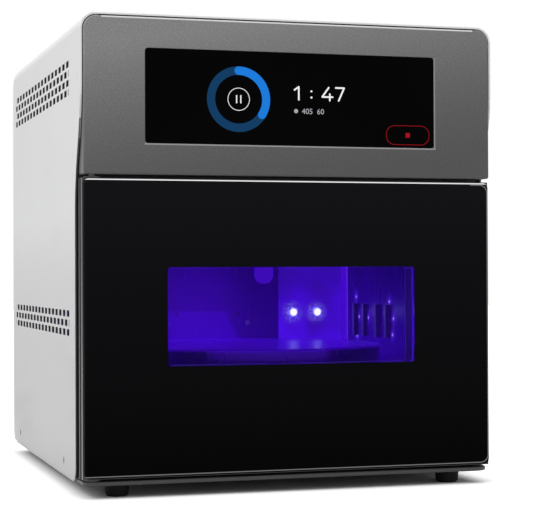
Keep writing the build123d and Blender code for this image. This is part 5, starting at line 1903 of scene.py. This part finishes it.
@dataclass
class Power(Assembly):
    """Mains inlet, rocker switch, supply and fans."""

    edge: float = 0.3 * MM

    def build(self) -> None:
        """Dress the fittings at the back."""
        palette = self.palette
        self.soften("power_inlet", self.edge, "dark_plastic", palette.fitting)
        self.soften("rocker_frame", self.edge, "dark_plastic", palette.fitting)
        self.soften("power_rocker", self.edge, "gloss_black", palette.door_matt, Body.ROCKER)
        palette.colour(palette.brass, "inlet_pins")
        palette.colour(palette.aluminium, "power_supply")
        palette.colour(palette.seal, "mains_lead")
        palette.colour(palette.fitting, "chamber_fan_housing", "exhaust_fan_housing")
        palette.colour(palette.fitting, "chamber_fan_rotor", "exhaust_fan_rotor")
        palette.colour(palette.fan_screw, "fan_screws")
        palette.colour(palette.screw, "foot_screws")


@dataclass
class Studio:
    """Camera, plain floor and soft light."""

    camera_place: Point = (-0.3560, -1.3013, 0.15683)
    yaw: float = 0.2888
    pitch: float = 0.0104
    roll: float = -0.0042
    focal_pixels: float = 1647.4
    floor_size: float = 12.0
    floor_shade: Colour = (0.35, 0.35, 0.35)
    world_light: float = 0.42
    shadow_half_width: float = 142.0 * MM
    shadow_half_depth: float = 160.0 * MM
    shadow_reach: float = 45.0 * MM

    def build(self) -> None:
        """Set up the studio."""
        self.camera()
        self.floor()
        self.world()
        self.soft_light("key_light", (-1.9, -1.2, 1.7), (0.0, 0.0, 0.17), 1.8, 32.0)
        self.soft_light("top_light", (0.1, -0.2, 2.3), (0.0, 0.0, 0.2), 2.2, 18.0)
        self.soft_light("fill_light", (2.0, -1.7, 1.2), (0.0, 0.0, 0.15), 1.6, 9.0)
        bpy.context.scene.view_settings.view_transform = "Standard"

    def camera(self) -> None:
        """Camera at the photograph's place, turned as it was."""
        flat = math.cos(self.pitch)
        forward = Vector((math.sin(self.yaw) * flat, math.cos(self.yaw) * flat, math.sin(self.pitch)))
        level = Vector((math.cos(self.yaw), -math.sin(self.yaw), 0.0))
        upright = level.cross(forward)
        right = math.cos(self.roll) * level + math.sin(self.roll) * upright
        up = -math.sin(self.roll) * level + math.cos(self.roll) * upright
        turn = Matrix((right, up, -forward)).transposed().to_4x4()
        data = bpy.data.cameras.new("photo_camera")
        data.sensor_width = SENSOR_WIDTH
        data.lens = self.focal_pixels / IMAGE_WIDTH * SENSOR_WIDTH
        data.clip_end = 50.0
        camera = bpy.data.objects.new("photo_camera", data)
        camera.matrix_world = Matrix.Translation(self.camera_place) @ turn
        bpy.context.scene.collection.objects.link(camera)
        bpy.context.scene.camera = camera

    def floor(self) -> None:
        """Pale floor that glows by itself, its glow dimmed near the body as a painted shadow over the shadow
        that the lamps cast.
        """
        Bench.clear()
        bpy.ops.mesh.primitive_plane_add(size=self.floor_size)
        floor = bpy.context.object
        floor.name = "studio_floor"
        material, graph, shader, place = Finish("studio_floor").start()
        shader.inputs["Roughness"].default_value = 0.9
        shader.inputs["Specular IOR Level"].default_value = 0.0
        seen = graph.seen()
        graph.join(graph.blend(seen, self.floor_shade, WHITE), shader.inputs["Base Color"])
        # Painted shadow: the floor's glow is dimmed within reach of the body's footprint.
        x, y, _ = graph.parts(place)
        away = graph.beyond(
            graph.math("SUBTRACT", graph.math("ABSOLUTE", x), self.shadow_half_width),
            graph.math("SUBTRACT", graph.math("ABSOLUTE", y), self.shadow_half_depth),
        )
        far = graph.span(away, (0.0, self.shadow_reach))
        graph.join(graph.product(seen, far), shader.inputs["Emission Strength"])
        graph.feed(shader.inputs["Emission Color"], WHITE)
        Bench.dress(floor, material)

    def world(self) -> None:
        """White surroundings to the eye, and an even soft light on the object."""
        world = bpy.data.worlds.new("studio_world")
        bpy.context.scene.world = world
        world.use_nodes = True
        graph = Graph(world.node_tree)
        light = world.node_tree.nodes["Background"]
        backdrop = graph.add("ShaderNodeBackground")
        for node, strength in ((light, self.world_light), (backdrop, 1.0)):
            graph.feed(node.inputs["Color"], WHITE)
            graph.feed(node.inputs["Strength"], strength)
        mix = graph.add("ShaderNodeMixShader")
        for target, source in zip(mix.inputs, (graph.seen(), light.outputs[0], backdrop.outputs[0])):
            graph.join(source, target)
        graph.join(mix.outputs[0], world.node_tree.nodes["World Output"].inputs["Surface"])

    def soft_light(self, name: str, place: Point, target: Point, size: float, power: float) -> None:
        """A square soft light that looks at a point.

        Args:
            name: Name of the light.
            place: Where it hangs.
            target: Where it looks.
            size: Length of its side.
            power: Power in watts.
        """
        data = bpy.data.lights.new(name, "AREA")
        data.shape = "SQUARE"
        data.size = size
        data.energy = power
        light = bpy.data.objects.new(name, data)
        aim = Vector(target) - Vector(place)
        light.matrix_world = Matrix.Translation(place) @ aim.to_track_quat("-Z", "Y").to_matrix().to_4x4()
        bpy.context.scene.collection.objects.link(light)


def main() -> None:
    """Build every sub-assembly in order."""
    logging.basicConfig(level=logging.INFO, format="%(name)s: %(message)s")
    palette = Palette()
    Studio().build()
    for kind in (Casing, ControlHead, ScreenFace, Door, Chamber, Power):
        log.info("building %s", kind.__name__)
        kind(palette).build()


if __name__ == "__main__":
    main()
